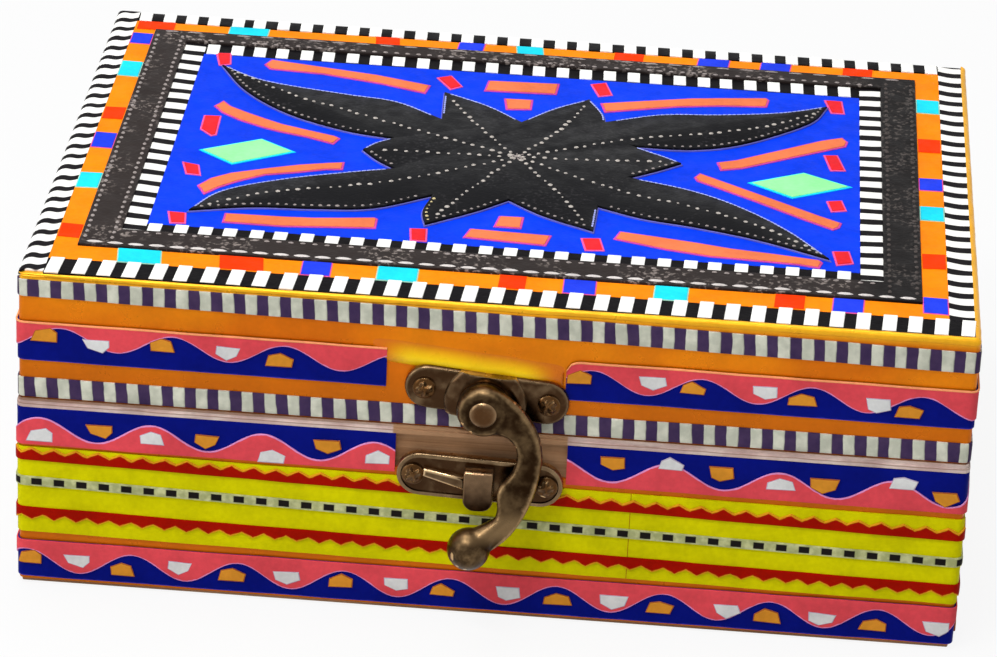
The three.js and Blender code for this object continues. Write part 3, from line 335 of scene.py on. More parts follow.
def pale_edging(name):
    """Creased pale edging of the base's rim, with painted shade in its crease and on its ledge under the
    lid.
    """
    finish = Finish(name, roughness=0.55)
    creases = finish.noise(2.4, detail=4.0, stretch=(0.35, 0.35, 1))
    colour = finish.clouded(creases, tint(200, 172, 164), tint(228, 208, 198))
    # Painted shade: a darker line along the crease, and the ledge under the lid darker, most at the left
    waver = finish.sum("MULTIPLY_ADD", finish.noise(7.0), 0.4, finish.z)
    crease = finish.within(waver, *EDGING_CREASE_SHADE, soft=0.07)
    fading = finish.ramp(finish.x, -50, 30, 0.8, 0.2)
    ledge = finish.sum("MULTIPLY", finish.ramp(finish.z, *EDGING_LEDGE_SHADE), fading)
    dark = finish.sum("MAXIMUM", finish.sum("MULTIPLY", crease, 0.6), ledge)
    colour = finish.mix(dark, colour, tint(136, 100, 76))
    # Behind the latch the edging is worn through to the wood
    worn = finish.sum("MULTIPLY", finish.within(finish.x, WINDOW_LEFT, WINDOW_RIGHT, soft=0.2),
                      finish.ramp(finish.y, *WORN_BACK, 1.0, 0.0))
    colour = finish.mix(worn, colour, tint(172, 132, 98))
    return finish.leather(colour, mottle=0.12, extra=[(creases, 0.15)])


# Heights of the painted highlight on the hook's neck, above its ball
NECK_HIGHLIGHT_HEIGHTS = (20.0, 24.5)


def worn_highlit_metal(name, dark, bright, roughness, start, full, neck_highlight=0.0):
    """Cast metal, darkened in its hollows, lighter along its edges by wear and painted highlight, and,
    where asked, with a painted highlight on the hook's neck.
    """
    finish = Finish(name, roughness=roughness, metallic=1.0, shine=0.5)
    shape = finish.nodes.new("ShaderNodeNewGeometry").outputs["Pointiness"]
    # Edges lighter by their sharpness: partly wear, partly painted highlight
    edge_wear_and_highlight = finish.sum("MULTIPLY_ADD", finish.noise(1.6), 0.02, shape)
    worn = finish.ramp(edge_wear_and_highlight, start, full)
    patches = finish.ramp(finish.noise(4.0, detail=5.0), 0.45, 0.75, 0.0, 0.14)
    # Painted highlight on the hook's neck
    neck_highlight_mask = finish.sum("MULTIPLY", finish.within(finish.z, *NECK_HIGHLIGHT_HEIGHTS, soft=1.5), neck_highlight)
    colour = finish.mix(finish.sum("MAXIMUM", worn, finish.sum("ADD", patches, neck_highlight_mask)), dark, bright)
    return finish.leather(colour, mottle=0.12, grain=0.001, lumps=0.03)


def thread_finish(name, colour):
    """Twisted thread."""
    finish = Finish(name, roughness=0.55)
    twist = finish.stripes(finish.sum("ADD", finish.x, finish.y), 0.3, 0.14, soft=0.05)
    return finish.leather(colour, mottle=0.1, extra=[(twist, 0.06)])


FOIL = golden_foil("golden foil")
ZEBRA_LEFT = zebra_leather("zebra outer left", -79.8, 0.3, 0.0, 0.3, 1.9)
ZEBRA_RIGHT = zebra_leather("zebra outer right", 78.8, -0.12, 0.07, 0.0, 2.1)
ZEBRA_INNER_LEFT = zebra_leather("zebra inner left", -65.0, -0.12, 0.0, 0.0, 2.0)
ZEBRA_INNER_RIGHT = zebra_leather("zebra inner right", 63.5, 0.06, 0.0, 0.0, 2.05)
BLACK = rubbed_leather("black leather", tint(12, 12, 15), tint(58, 56, 58), 0.12)
FRAME_BLACK = rubbed_leather("black frame leather", tint(42, 35, 33), tint(190, 176, 168), 0.13)
STRIP_BLACK = plain_leather("black strip", tint(14, 12, 14), roughness=0.4)
STRIP_WHITE = plain_leather("white strip", tint(246, 245, 240))
ORANGE = plain_leather("orange leather", tint(255, 136, 14))
FIELD_BLUE = plain_leather("bright blue leather", tint(6, 60, 228), roughness=0.4)
NAVY = plain_leather("navy leather", tint(6, 18, 122), tint(40, 46, 160))
PINK = plain_leather("pink leather", tint(228, 77, 86), tint(226, 146, 200), 0.27)
# Painted highlight along the top edge of the lid's wave strip
PEACH_HIGHLIGHT = plain_leather("peach painted highlight", tint(255, 168, 112))
LIME = plain_leather("lime leather", tint(214, 208, 0))
RED = plain_leather("red leather", tint(162, 15, 0), tint(220, 150, 30), 0.34)
STRIPES_UPPER = striped_leather("striped leather upper", LID_ROUND / 144, 1.95)
STRIPES_LOWER = striped_leather("striped leather lower", LID_ROUND / 143, 2.0)
DASHES = dashed_leather("dashed leather", BASE_ROUND / 145, 1.85)
SALMON = plain_leather("salmon leather", tint(230, 120, 76))
MAGENTA = plain_leather("magenta edge", tint(206, 74, 160))
GREEN = plain_leather("pale green leather", tint(150, 250, 160))
CYAN = plain_leather("cyan leather", tint(30, 214, 240), roughness=0.4)
CYAN_EDGE = plain_leather("pale cyan edge", tint(160, 214, 190), roughness=0.4)
SLIP_RED = plain_leather("scarlet leather", tint(230, 40, 48))
SLIP_EDGE = plain_leather("rose edge", tint(236, 92, 156))
BLOCK_RED = plain_leather("red block leather", tint(248, 58, 4))
BLOCK_BLUE = plain_leather("blue block leather", tint(34, 62, 226))
CHIP_ORANGE = plain_leather("orange chip", tint(220, 146, 46), roughness=0.5)
CHIP_WHITE = plain_leather("white chip", tint(222, 222, 220), roughness=0.5)
CHIP_EDGE = plain_leather("orange chip edge", tint(176, 96, 44), roughness=0.5)
CHIP_WHITE_EDGE = plain_leather("white chip edge", tint(190, 176, 196), roughness=0.5)
WOOD = bare_wood("bare wood")
EDGING = pale_edging("pale edging")
BRONZE = worn_highlit_metal("dark bronze", tint(62, 42, 26), tint(228, 194, 148), 0.28, 0.525, 0.61)
# The cast hook's bronze carries a painted highlight on its neck
CAST = worn_highlit_metal("cast bronze", tint(38, 24, 12), tint(214, 176, 126), 0.34, 0.51, 0.55, neck_highlight=0.24)
RIVET_BRONZE = worn_highlit_metal("rivet bronze", tint(84, 57, 34), tint(220, 184, 140), 0.3, 0.525, 0.61)
# Darker copy of the bronze for the latch's nose: painted shade
NOSE_BRONZE_SHADED = worn_highlit_metal("nose bronze, painted shade", tint(30, 17, 10), tint(160, 128, 96), 0.3, 0.525, 0.61)
SCREW = worn_highlit_metal("screw metal", tint(84, 56, 30), tint(236, 200, 148), 0.3, 0.545, 0.64)
# Painted shade in the screws' cross recesses
RECESS_SHADE = Finish("painted recess shade", roughness=0.8, shine=0.05).leather(tint(22, 13, 8), mottle=0.2)
BRASS = worn_highlit_metal("hinge brass", tint(176, 138, 70), tint(236, 206, 134), 0.36, 0.53, 0.6)
THREAD_WHITE = thread_finish("white thread", tint(226, 218, 214))
THREAD_PALE = thread_finish("pale thread", tint(190, 182, 174))
THREAD_GREY = thread_finish("grey thread", tint(160, 150, 146))
THREAD_DARK = thread_finish("dark thread", tint(84, 77, 74))
THREAD_GOLD = thread_finish("gold thread", tint(214, 196, 146))
THREAD_LILAC = thread_finish("lilac thread", tint(168, 176, 238))
LILAC_EDGE = plain_leather("lilac cut edge", tint(110, 110, 190), roughness=0.5)
FOIL_SWELL = swollen_foil("swollen foil, painted highlight")


def piece(name, bm, finishes, body, slot=None, stands_for=(), crease=35.0):
    """Mesh object from a shape in millimetres, riding a body of the model."""
    bmesh.ops.recalc_face_normals(bm, faces=bm.faces)
    bmesh.ops.scale(bm, vec=(MM, MM, MM), verts=bm.verts)
    mesh = bpy.data.meshes.new(name)
    bm.to_mesh(mesh)
    bm.free()
    mesh.shade_smooth()
    mesh.set_sharp_from_angle(angle=math.radians(crease))
    for finish in finishes:
        mesh.materials.append(finish)
    made = placed(name, mesh)
    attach(made, body)
    if stands_for:
        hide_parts(*stands_for)
    return made


def joined(parts):
    """One shape holding all the given shapes."""
    whole = bmesh.new()
    for part in parts:
        spare = bpy.data.meshes.new("spare")
        part.to_mesh(spare)
        part.free()
        whole.from_mesh(spare)
        bpy.data.meshes.remove(spare)
    return whole


def points_of(found):
    """Vertices among what an operator gives back."""
    return [part for part in found if isinstance(part, bmesh.types.BMVert)]


def sliced(bm, point, across, dist=0.001, **settings):
    """Cut a shape by a plane through a point."""
    bmesh.ops.bisect_plane(bm, geom=bm.verts[:] + bm.edges[:] + bm.faces[:], dist=dist,
                           plane_co=point, plane_no=across, **settings)


def closed(bm):
    """Fill the open rims of a shape."""
    rims = [edge for edge in bm.edges if edge.is_boundary]
    if rims:
        bmesh.ops.holes_fill(bm, edges=rims, sides=0)


def finished(bm, finish):
    """Give every face of a shape one of its piece's finishes."""
    for face in bm.faces:
        face.material_index = finish
    return bm


def plate(points, thick, edge=0.08, at=Matrix.Identity(4), segments=1, both=False, finish=0):
    """Flat piece cut to an outline, with its upper edge eased."""
    bm = bmesh.new()
    foot = bm.faces.new([bm.verts.new((x, y, 0.0)) for x, y in points])
    foot.material_index = finish
    raised = bmesh.ops.extrude_face_region(bm, geom=[foot])["geom"]
    bmesh.ops.translate(bm, verts=points_of(raised), vec=(0, 0, thick))
    top = next(g for g in raised if isinstance(g, bmesh.types.BMFace))
    rims = list(top.edges) + (list(foot.edges) if both else [])
    if edge:
        bmesh.ops.bevel(bm, geom=rims, offset=edge, offset_type="OFFSET", segments=segments,
                        profile=0.5, affect="EDGES", clamp_overlap=False, material=-1)
    bmesh.ops.transform(bm, matrix=at, verts=bm.verts)
    return bm


def level(z):
    """Frame lying flat at a height."""
    return Matrix.Translation((0, 0, z))


def turned(profile, at, steps):
    """Round piece turned from (radius, height) pairs about its own z."""
    bm = bmesh.new()
    verts = [bm.verts.new((r, 0, h)) for r, h in profile]
    edges = [bm.edges.new(pair) for pair in zip(verts, verts[1:])]
    bmesh.ops.spin(bm, geom=verts + edges, axis=(0, 0, 1), cent=(0, 0, 0), steps=steps,
                   angle=FULL_TURN, use_merge=True)
    bmesh.ops.remove_doubles(bm, verts=bm.verts, dist=0.001)
    bmesh.ops.transform(bm, matrix=at, verts=bm.verts)
    return bm


def bead(x, y, z, size, heading=0.0, finish=0):
    """Stitch lying flat: length, width and height in size."""
    bm = bmesh.new()
    place = (Matrix.Translation((x, y, z)) @ Matrix.Rotation(heading, 4, "Z")
             @ Matrix.Diagonal((size[0] / 2, size[1] / 2, size[2] / 2, 1)))
    bmesh.ops.create_uvsphere(bm, u_segments=8, v_segments=4, radius=1.0, matrix=place)
    return finished(bm, finish)


def uneven(n, spread):
    """Repeatable small difference for the nth of many alike pieces."""
    return 2 * spread * drift(n * 1.713 + 0.31, n * 0.377 + 0.77, 0.53)


def around(u, out, front):
    """Point on the box's outside, u round from the front's middle and out from its face."""
    side = HALF_D - front
    half_round = 2 * HALF_W + side
    u = (u + half_round) % (2 * half_round) - half_round
    mirror = -1 if u < 0 else 1
    u = abs(u)
    r = CORNER_ROUND
    if u <= HALF_W - r:
        return mirror * u, front - out
    if u < HALF_W + r:
        turn = (u - HALF_W + r) / (2 * r) * math.pi / 2
        return (mirror * (HALF_W - r + (r + out) * math.sin(turn)),
                front + r - (r + out) * math.cos(turn))
    if u <= HALF_W + side - r:
        return mirror * (HALF_W + out), front + u - HALF_W
    if u < HALF_W + side + r:
        turn = (u - HALF_W - side + r) / (2 * r) * math.pi / 2
        return (mirror * (HALF_W - r + (r + out) * math.cos(turn)),
                HALF_D - r + (r + out) * math.sin(turn))
    return mirror * (half_round - u), HALF_D + out


FRONTS = {"lid": LID_FRONT, "base": BASE_FRONT}


def swept(name, finish, body, start, end, columns, section, **about):
    """Closed section carried round the box; UV keeps the way along and the section's own v."""
    front = FRONTS[body]
    sections = [section(start + (end - start) * i / columns) for i in range(columns + 1)]
    rows = len(sections[0])
    bm = bmesh.new()
    bmesh.ops.create_grid(bm, x_segments=columns, y_segments=rows, size=1.0)
    uv = bm.loops.layers.uv.new("UVMap")
    spots = {}
    for vert in bm.verts:
        i = round((vert.co.x + 1) / 2 * columns)
        j = round((vert.co.y + 1) / 2 * rows) % rows
        u = start + (end - start) * i / columns
        out, z, v = sections[i][j]
        x, y = around(u, out, front)
        vert.co = (x, y, z)
        spots[vert] = (u, v)
    for face in bm.faces:
        for loop in face.loops:
            loop[uv].uv = spots[loop.vert]
    bmesh.ops.remove_doubles(bm, verts=bm.verts, dist=0.0005)
    closed(bm)
    return piece(name, bm, [finish], body, **about)


def sloped(height, slope, front, wobble=0.1, size=9.0):
    """Level line that falls evenly with X and wavers as a hand cut edge does."""
    def line(u):
        x, y = around(u, 0, front)
        return height + slope * x + wobble * drift(x / size, y / size, height)
    return line


# Strips: the length of one column, and ways in from the face and the cut edge where it is eased
STEP = 0.8
EASED = ((0.1, 0.0), (0.02, 0.05), (0.0, 0.15))


def strip(name, finish, body, low, high, out=-LAYER, thick=LAYER, start=0.0, end=None, step=STEP,
          cut=None, **about):
    """Strip glued round the box between two lines, its v measured from the line cut."""
    front = FRONTS[body]
    end = start + round_of(front) if end is None else end
    cut = cut or low
    columns = round((end - start) / step)

    def section(u):
        z0, z1 = low(u), high(u)
        lean = math.hypot(1, (cut(u + 0.2) - cut(u - 0.2)) / 0.4)
        x, y = around(u, 0, front)
        rows = [(out - thick, z0)] + [(out - inward, z0 + inset) for inward, inset in EASED]
        for share in (0.2, 0.4, 0.6, 0.8):
            z = z0 + (z1 - z0) * share
            rows.append((out + 0.05 * drift(x / 5, y / 5, z / 3), z))
        rows += [(out - inward, z1 - inset) for inward, inset in reversed(EASED)] + [(out - thick, z1)]
        edge = cut(u)
        return [(o, z, (z - edge) / lean) for o, z in rows]

    return swept(name, finish, body, start, end, columns, section, **about)


# Pitch of the waves on the sides and the back
WAVE_BEHIND = 19.0


def wave_count(right, left, front):
    """Number of waves passed at u: a crest and a pitch for each side of the front, even ones behind."""
    half_round = round_of(front) / 2
    behind = half_round - HALF_W
    at_right = (HALF_W - right[0]) / right[1]
    middle = round(at_right + behind / WAVE_BEHIND)
    at_left = (-HALF_W - left[0]) / left[1]
    at_left += round(middle + behind / WAVE_BEHIND - at_left)

    def count(u):
        if u <= HALF_W:
            return (u - right[0]) / right[1]
        if u < half_round:
            return at_right + (middle - at_right) * (u - HALF_W) / behind
        if u < half_round + behind:
            return middle + (at_left - middle) * (u - half_round) / behind
        return at_left + (u - half_round - behind) / left[1]
    return count


def waved(mid, amp, slope, count, front):
    """Sloping line with a wave on it."""
    level_line = sloped(mid, slope, front)
    return lambda u: level_line(u) + amp * math.cos(FULL_TURN * count(u))


# Small leather chips along the waves, with a pale edge round each
CHIP = [(-2.15, -1.1), (2.1, -1.15), (2.2, 0.25), (0.3, 1.2), (-1.75, 0.55)]
CHIP_REACH = 2.9
CHIP_THICK, CHIP_EDGE_THICK = 0.31, 0.27
CHIP_STEP = 0.25
PAST_FRONT = HALF_W + 3.5


def bent_round(bm, u, z, out, front):
    """Lay a flat piece on the box's side at u and z, bent where it meets a corner."""
    full = round_of(front)
    side = HALF_D - front
    for corner in (-HALF_W, HALF_W, HALF_W + side, full - HALF_W - side, full - HALF_W):
        for step in range(-2, 3):
            cut = corner - u + step * CORNER_ROUND / 2
            if abs(cut) < CHIP_REACH:
                sliced(bm, (cut, 0, 0), (1, 0, 0))
    for vert in bm.verts:
        x, y = around(u + vert.co.x, out + vert.co.z, front)
        vert.co = (x, y, z + vert.co.y)
    return bm


def chip_places(front, count, mid, slope, orange_at, white_at):
    """Places for chips behind the front: one by each crest and one in each hollow."""
    orange, white = [], []
    for i in range(round((round_of(front) - 2 * PAST_FRONT) / CHIP_STEP)):
        u = PAST_FRONT + i * CHIP_STEP
        for phase, places, rise in ((orange_at, orange, -0.3), (white_at, white, 0.2)):
            before, after = count(u) - phase, count(u + CHIP_STEP) - phase
            if math.floor(before) != math.floor(after):
                x, _ = around(u, 0, front)
                places.append((u, mid + slope * x + rise))
    return orange, white


def chips(name, body, orange, white, behind, orange_up=1):
    """Five sided chips, the orange ones pointing up or down and the white ones the other way."""
    front = FRONTS[body]
    orange_behind, white_behind = chip_places(front, *behind)
    parts = []
    for finish, places in ((0, orange + orange_behind), (1, white + white_behind)):
        up = orange_up if finish == 0 else -orange_up
        for n, (u, z) in enumerate(places):
            flip = -1 if n % 2 else 1
            points = [(x * flip + uneven(n + 3 * x, 0.36), y * up + uneven(n + 5 * y, 0.26))
                      for x, y in CHIP[::flip * up]]
            wider = [(x * 1.07, y * 1.12) for x, y in points]
            for cut in (plate(wider, CHIP_EDGE_THICK, 0.05, finish=2 + finish),
                        plate(points, CHIP_THICK, 0.05, finish=finish)):
                parts.append(bent_round(cut, u, z, -LAYER, front))
    return piece(name, joined(parts), [CHIP_ORANGE, CHIP_WHITE, CHIP_EDGE, CHIP_WHITE_EDGE], body,
                 slot="orange_leather")


# Waves: a pink strip lies on a navy one, and shows it under or over its waved edge
PINK_OUT, PINK_THICK = -0.07, 0.23

# Bands round the lid
lid_count = wave_count((16.7, 18.8), (-74.5, 19.3), LID_FRONT)
LID_WAVE_MID, LID_WAVE_FALL, LID_EDGE_FALL = 47.4, -0.010, -0.004
LID_RUN = {"start": 12.3, "end": LID_ROUND - 18.45}


def rounded_start(height, reach=2.6, drop=1.7):
    """Upper edge of the lid's wave strips, which falls away in a curve where they begin."""
    line = sloped(height, LID_EDGE_FALL, LID_FRONT)

    def edge(u):
        left = min(1.0, max(0.0, (u - LID_RUN["start"]) / reach))
        return line(u) - drop * (1 - math.sqrt(1 - (1 - left) ** 2))
    return edge


strip("wave_lid_blue", NAVY, "lid", sloped(43.3, LID_EDGE_FALL, LID_FRONT), rounded_start(50.6),
      **LID_RUN, slot="navy_leather", stands_for=["lid_wave_blue"])
strip("wave_lid_pink", PINK, "lid", waved(LID_WAVE_MID, 1.95, LID_WAVE_FALL, lid_count, LID_FRONT),
      rounded_start(50.71), PINK_OUT, PINK_THICK, **LID_RUN, slot="pink_leather",
      stands_for=["lid_wave_pink"])
wave_top = rounded_start(50.78)


def wave_highlight(u):
    """Section of the peach cord along the top of the lid's wave strip, a painted highlight."""
    z = wave_top(u)
    return [(-LAYER, z - 0.3, 0), (-0.05, z - 0.3, 0), (0.01, z - 0.22, 0), (0.01, z - 0.06, 0),
            (-0.05, z, 0), (-LAYER, z, 0)]


# Cord along the wave strip's top, coloured as a painted highlight
swept("wave_lid_highlight", PEACH_HIGHLIGHT, "lid", **LID_RUN,
      columns=round((LID_RUN["end"] - LID_RUN["start"]) / STEP), section=wave_highlight, slot="pink_leather")
upper_low = sloped(54.7, -0.0133, LID_FRONT)
strip("stripes_lid_upper", STRIPES_UPPER, "lid", upper_low, lambda u: min(upper_low(u) + 3.9, 58.9),
      slot="striped_leather", stands_for=["lid_stripe_band_upper"])
strip("stripes_lid_lower", STRIPES_LOWER, "lid", sloped(36.5, 0, LID_FRONT, 0.03),
      sloped(40.2, 0, LID_FRONT), slot="striped_leather", stands_for=["lid_stripe_band_lower"])

# Bands round the base
upper_count = wave_count((11.2, 19.4), (-78.1, 19.4), BASE_FRONT)
UPPER_WAVE_MID, UPPER_WAVE_FALL = 30.7, -0.004
upper_wave = waved(UPPER_WAVE_MID, 2.1, UPPER_WAVE_FALL, upper_count, BASE_FRONT)
UPPER_RUN = {"start": 13.25, "end": BASE_ROUND - 16.35}
strip("wave_base_upper_blue", NAVY, "base", sloped(27.5, UPPER_WAVE_FALL, BASE_FRONT),
      sloped(34.9, -0.001, BASE_FRONT, 0.15), **UPPER_RUN, slot="navy_leather",
      stands_for=["base_wave_upper_blue"])
strip("wave_base_upper_pink", PINK, "base", sloped(27.4, UPPER_WAVE_FALL, BASE_FRONT), upper_wave,
      PINK_OUT, PINK_THICK, **UPPER_RUN, cut=upper_wave, slot="pink_leather",
      stands_for=["base_wave_upper_pink"])
lower_count = wave_count((-80.5, 18.65), (-80.5, 18.65), BASE_FRONT)
LOWER_FALL = -0.002
strip("wave_base_lower_blue", NAVY, "base", sloped(1.2, LOWER_FALL, BASE_FRONT),
      sloped(8.5, LOWER_FALL, BASE_FRONT), slot="navy_leather", stands_for=["base_wave_lower_blue"])
strip("wave_base_lower_pink", PINK, "base", waved(4.8, 2.2, 0, lower_count, BASE_FRONT),
      sloped(8.6, LOWER_FALL, BASE_FRONT), PINK_OUT, PINK_THICK, slot="pink_leather",
      stands_for=["base_wave_lower_pink"])
LIME_SEAM, LIME_SEAM_GAP, LIME_FALL = 24.7, 0.12, -0.008
strip("band_lime", LIME, "base", sloped(9.7, LIME_FALL, BASE_FRONT), sloped(26.5, LIME_FALL, BASE_FRONT),
      start=LIME_SEAM, end=LIME_SEAM + BASE_ROUND - LIME_SEAM_GAP, slot="lime_leather",
      stands_for=["base_lime_band"])
DASHES_FALL = -0.019
strip("strip_dashed", DASHES, "base", sloped(18.1, DASHES_FALL, BASE_FRONT, 0.05),
      sloped(19.9, DASHES_FALL, BASE_FRONT, 0.05), 0.0, slot="dashed_leather",
      stands_for=["base_dash_strip"])

# Teeth of a red strip: their number once round the box, and their height
TEETH, TOOTH = 147, 0.95


def toothed(tip, slope, drop):
    """Line of teeth whose tips lie on a sloping line, drop away from it."""
    level_line = sloped(tip, slope, BASE_FRONT, 0.05)
    pitch = BASE_ROUND / TEETH
    return lambda u: level_line(u) - drop * abs(2 * (u / pitch - math.floor(u / pitch)) - 1)


RED_UPPER_FALL, RED_LOWER_FALL = -0.0185, -0.0145
red_upper = (sloped(23.2, RED_UPPER_FALL, BASE_FRONT), toothed(25.7, RED_UPPER_FALL, TOOTH))
red_lower = (toothed(11.7, RED_LOWER_FALL, -TOOTH), sloped(14.2, RED_LOWER_FALL, BASE_FRONT))
for place, lines, teeth in (("upper", red_upper, red_upper[1]), ("lower", red_lower, red_lower[0])):
    strip(f"zigzag_{place}", RED, "base", *lines, 0.0, step=BASE_ROUND / TEETH / 6, cut=teeth,
          slot="red_leather", stands_for=[f"base_red_zigzag_{place}"])

# Chips: the front's at their places, the others by the waves
chips("chips_lid", "lid",
      [(-77.1, 48.8), (-57.0, 48.3), (-36.9, 47.3), (14.6, 47.7), (33.8, 47.3), (52.7, 46.6), (70.6, 45.7)],
      [(-68.1, 47.3), (-45.7, 47.6), (27.0, 47.9), (46.3, 47.2), (65.4, 46.4)],
      (lid_count, 47.2, LID_WAVE_FALL, 0.93, 0.56))
chips("chips_base_upper", "base",
      [(-67.4, 31.2), (-49.0, 30.6), (-28.2, 31.6), (21.2, 31.9), (39.7, 31.5), (57.6, 30.7),
       (78.2, 29.7)],
      [(-77.8, 29.8), (-58.5, 30.6), (-37.8, 29.0), (-19.3, 29.9), (31.0, 32.8), (50.2, 30.5),
       (70.8, 32.3)],
      (upper_count, UPPER_WAVE_MID, UPPER_WAVE_FALL, 0.48, 0.98), orange_up=-1)
chips("chips_base_lower", "base",
      [(-79.8, 5.5), (-63.5, 4.1), (-44.3, 4.9), (-25.0, 4.9), (-7.4, 4.7), (13.0, 4.6), (30.6, 4.4),
       (49.7, 4.2), (68.0, 4.0)],
      [(-71.3, 5.2), (-53.4, 5.2), (-34.7, 5.1), (-15.3, 5.0), (4.1, 4.9), (22.8, 4.8), (42.3, 4.6),
       (59.2, 4.3), (79.0, 4.1)],
      (lower_count, 4.9, 0, 0.95, 0.5))

# Foil rolled over the lid's upper edge, from the front's left end round the right side
ROLL_START = -83.0
ROLL_END = HALF_W + HALF_D - LID_FRONT + 1.2
ROLL_SIDES = 16


def foil_roll(u):
    """Section of the foil rolled over the lid's upper edge, fuller at the right."""
    x, y = around(u, 0, LID_FRONT)
    taper = min(1.0, 0.25 + max(0.0, u - ROLL_START) / 9.0, 0.25 + max(0.0, ROLL_END - u) / 6.0)
    fullness = 0.62 + 0.3 * (x / HALF_W) + 0.14 * drift(x / 7, y / 7, 0.4)
    fullness *= taper
    centre_out, centre_z = -0.5 - fullness, STRIP_TOP - fullness
    rows = []
    for i in range(ROLL_SIDES):
        turn = FULL_TURN * i / ROLL_SIDES
        swell = fullness * (1 + 0.06 * drift(x / 2, y / 2, i * 0.9))
        rows.append((centre_out + swell * math.cos(turn), centre_z + swell * math.sin(turn), i * 0.3))
    return rows


swept("foil_roll_lid", FOIL, "lid", ROLL_START, ROLL_END, 400, foil_roll, slot="golden_foil")

# Foil swollen above the latch: half its width, its reach up and down, and its rows
FOLD_HALF, FOLD_UP, FOLD_DOWN, FOLD_ROWS = 16.4, 3.2, 1.6, 12


def foil_fold(u):
    """Section of the foil's soft swelling above the latch."""
    off = u - FOLD_MIDDLE
    taper = math.sqrt(max(0.0, 1 - (off / (FOLD_HALF + 0.1)) ** 2))
    z = 48.4 - 0.09 * off + 0.1 * drift(u / 5, 0.2, 0.1)
    rows = []
    for k in range(FOLD_ROWS + 1):
        share = k / FOLD_ROWS
        swell = math.sin(math.pi * share ** 1.7) ** 1.3
        rows.append((-0.62 + 0.95 * taper * swell, z + FOLD_UP - (FOLD_UP + FOLD_DOWN) * share, 0.2 * k))
    return rows[::-1] + [(-0.9, z + FOLD_UP, 0), (-0.9, z - FOLD_DOWN, 0)]


swept("foil_fold_latch", FOIL_SWELL, "lid", FOLD_MIDDLE - FOLD_HALF, FOLD_MIDDLE + FOLD_HALF, 60,
      foil_fold, slot="golden_foil", crease=80)


def checks(name, node, pitch, square, lean, overlap, under=0.1):
    """White squares of a checked strip, the last one cut off at the strip's end."""
    low, high = node_box(node)
    depth = high.y - low.y
    parts = []
    count = int((high.x - low.x) / pitch)
    for n in range(count + 1):
        x = low.x + 0.3 + n * pitch + uneven(n, 0.15)
        cut = min(x + square, high.x - 0.05)
        if cut - x < square / 2:
            continue
        shift = lean * depth / 2
        y0 = low.y + under + uneven(n + 40, 0.12)
        y1 = high.y - 0.1 + overlap + uneven(n + 90, 0.15)
        points = [(x - shift, y0), (cut - shift, y0), (cut + shift, y1), (x + shift, y1)]
        parts.append(plate(points, 0.3, 0.08, level(high.z - 0.12)))
    return piece(name, joined(parts), [STRIP_WHITE], "lid", slot="black_and_white_leather")


checks("squares_outer_front", "top_check_strip_front", 4.46, 2.4, 0.06, 0.35, under=0.12)
checks("squares_outer_back", "top_check_strip_back", 4.46, 2.35, -0.03, 0.15)
checks("squares_inner_front", "inner_check_strip_front", 4.45, 2.35, 0.03, 0.1)
checks("squares_inner_back", "inner_check_strip_back", 4.45, 2.35, -0.03, -0.1)

# Strips that turn down over the lid's left and back edges
OVER_EDGE = [(0.0, 59.5), (0.0, 60.0), (3.4, 60.02), (3.95, 59.86), (4.3, 59.5), (4.42, 58.9), (4.1, 58.85),
             (3.8, 59.3), (3.4, 59.5)]


def over_edge(name, finish, inner, start, end, node, at):
    """Strip lying on the lid and turned down over its edge, inner its way out to the strip."""
    outline = [(inner + out, z) for out, z in OVER_EDGE][::-1]
    bm = plate(outline, end - start, 0.15, at @ Matrix.Translation((0, 0, start)), both=True)
    piece(name, bm, [finish], "lid", slot="black_and_white_leather", stands_for=[node])


leftwards = Matrix(((-1, 0, 0, 0), (0, 0, 1, 0), (0, 1, 0, 0), (0, 0, 0, 1)))
backwards = Matrix(((0, 0, -1, 0), (1, 0, 0, 0), (0, 1, 0, 0), (0, 0, 0, 1)))
over_edge("zebra_left_turned", ZEBRA_LEFT, 77.8, -56.9, 59.2, "top_zebra_strip_left", leftwards)
over_edge("check_back_turned", STRIP_BLACK, 55.0, -76.6, 77.8, "top_check_strip_back", backwards)

# Coloured blocks let into the orange border
outer_low, outer_high = node_box("top_block_border")
frame_low, frame_high = node_box("top_leather_frame")
FRONT_BLOCKS = [(-66.0, -58.3, "cyan"), (-48.5, -40.5, "red"), (-34.5, -29.2, "blue"),
                (-21.5, -14.3, "cyan"), (-0.7, 4.3, "red"), (10.5, 16.3, "blue"), (26.0, 32.0, "cyan"),
                (46.5, 52.0, "red"), (56.5, 62.0, "blue")]
BACK_BLOCKS = [(-77.5, -70.0, "red"), (-59.8, -52.0, "cyan"), (-31.3, -26.3, "red"), (-15.7, -10.5, "blue"),
               (-4.0, 1.3, "cyan"), (14.3, 20.3, "red"), (30.3, 36.5, "blue"), (42.3, 48.3, "blue"),
               (58.0, 64.0, "red")]
LEFT_BLOCKS = [(43.3, 48.5, "blue"), (27.6, 34.7, "cyan"), (7.2, 12.9, "red"), (-5.4, 1.4, "blue"),
               (-22.9, -16.4, "cyan"), (-43.6, -37.8, "red")]
RIGHT_BLOCKS = [(35.4, 41.7, "cyan"), (17.1, 23.4, "red"), (0.4, 5.8, "blue"), (-12.4, -6.4, "cyan"),
                (-32.6, -26.3, "red"), (-49.9, -43.6, "blue")]


# Depth at which the blocks are bedded in the border
BLOCK_SINK = 0.1


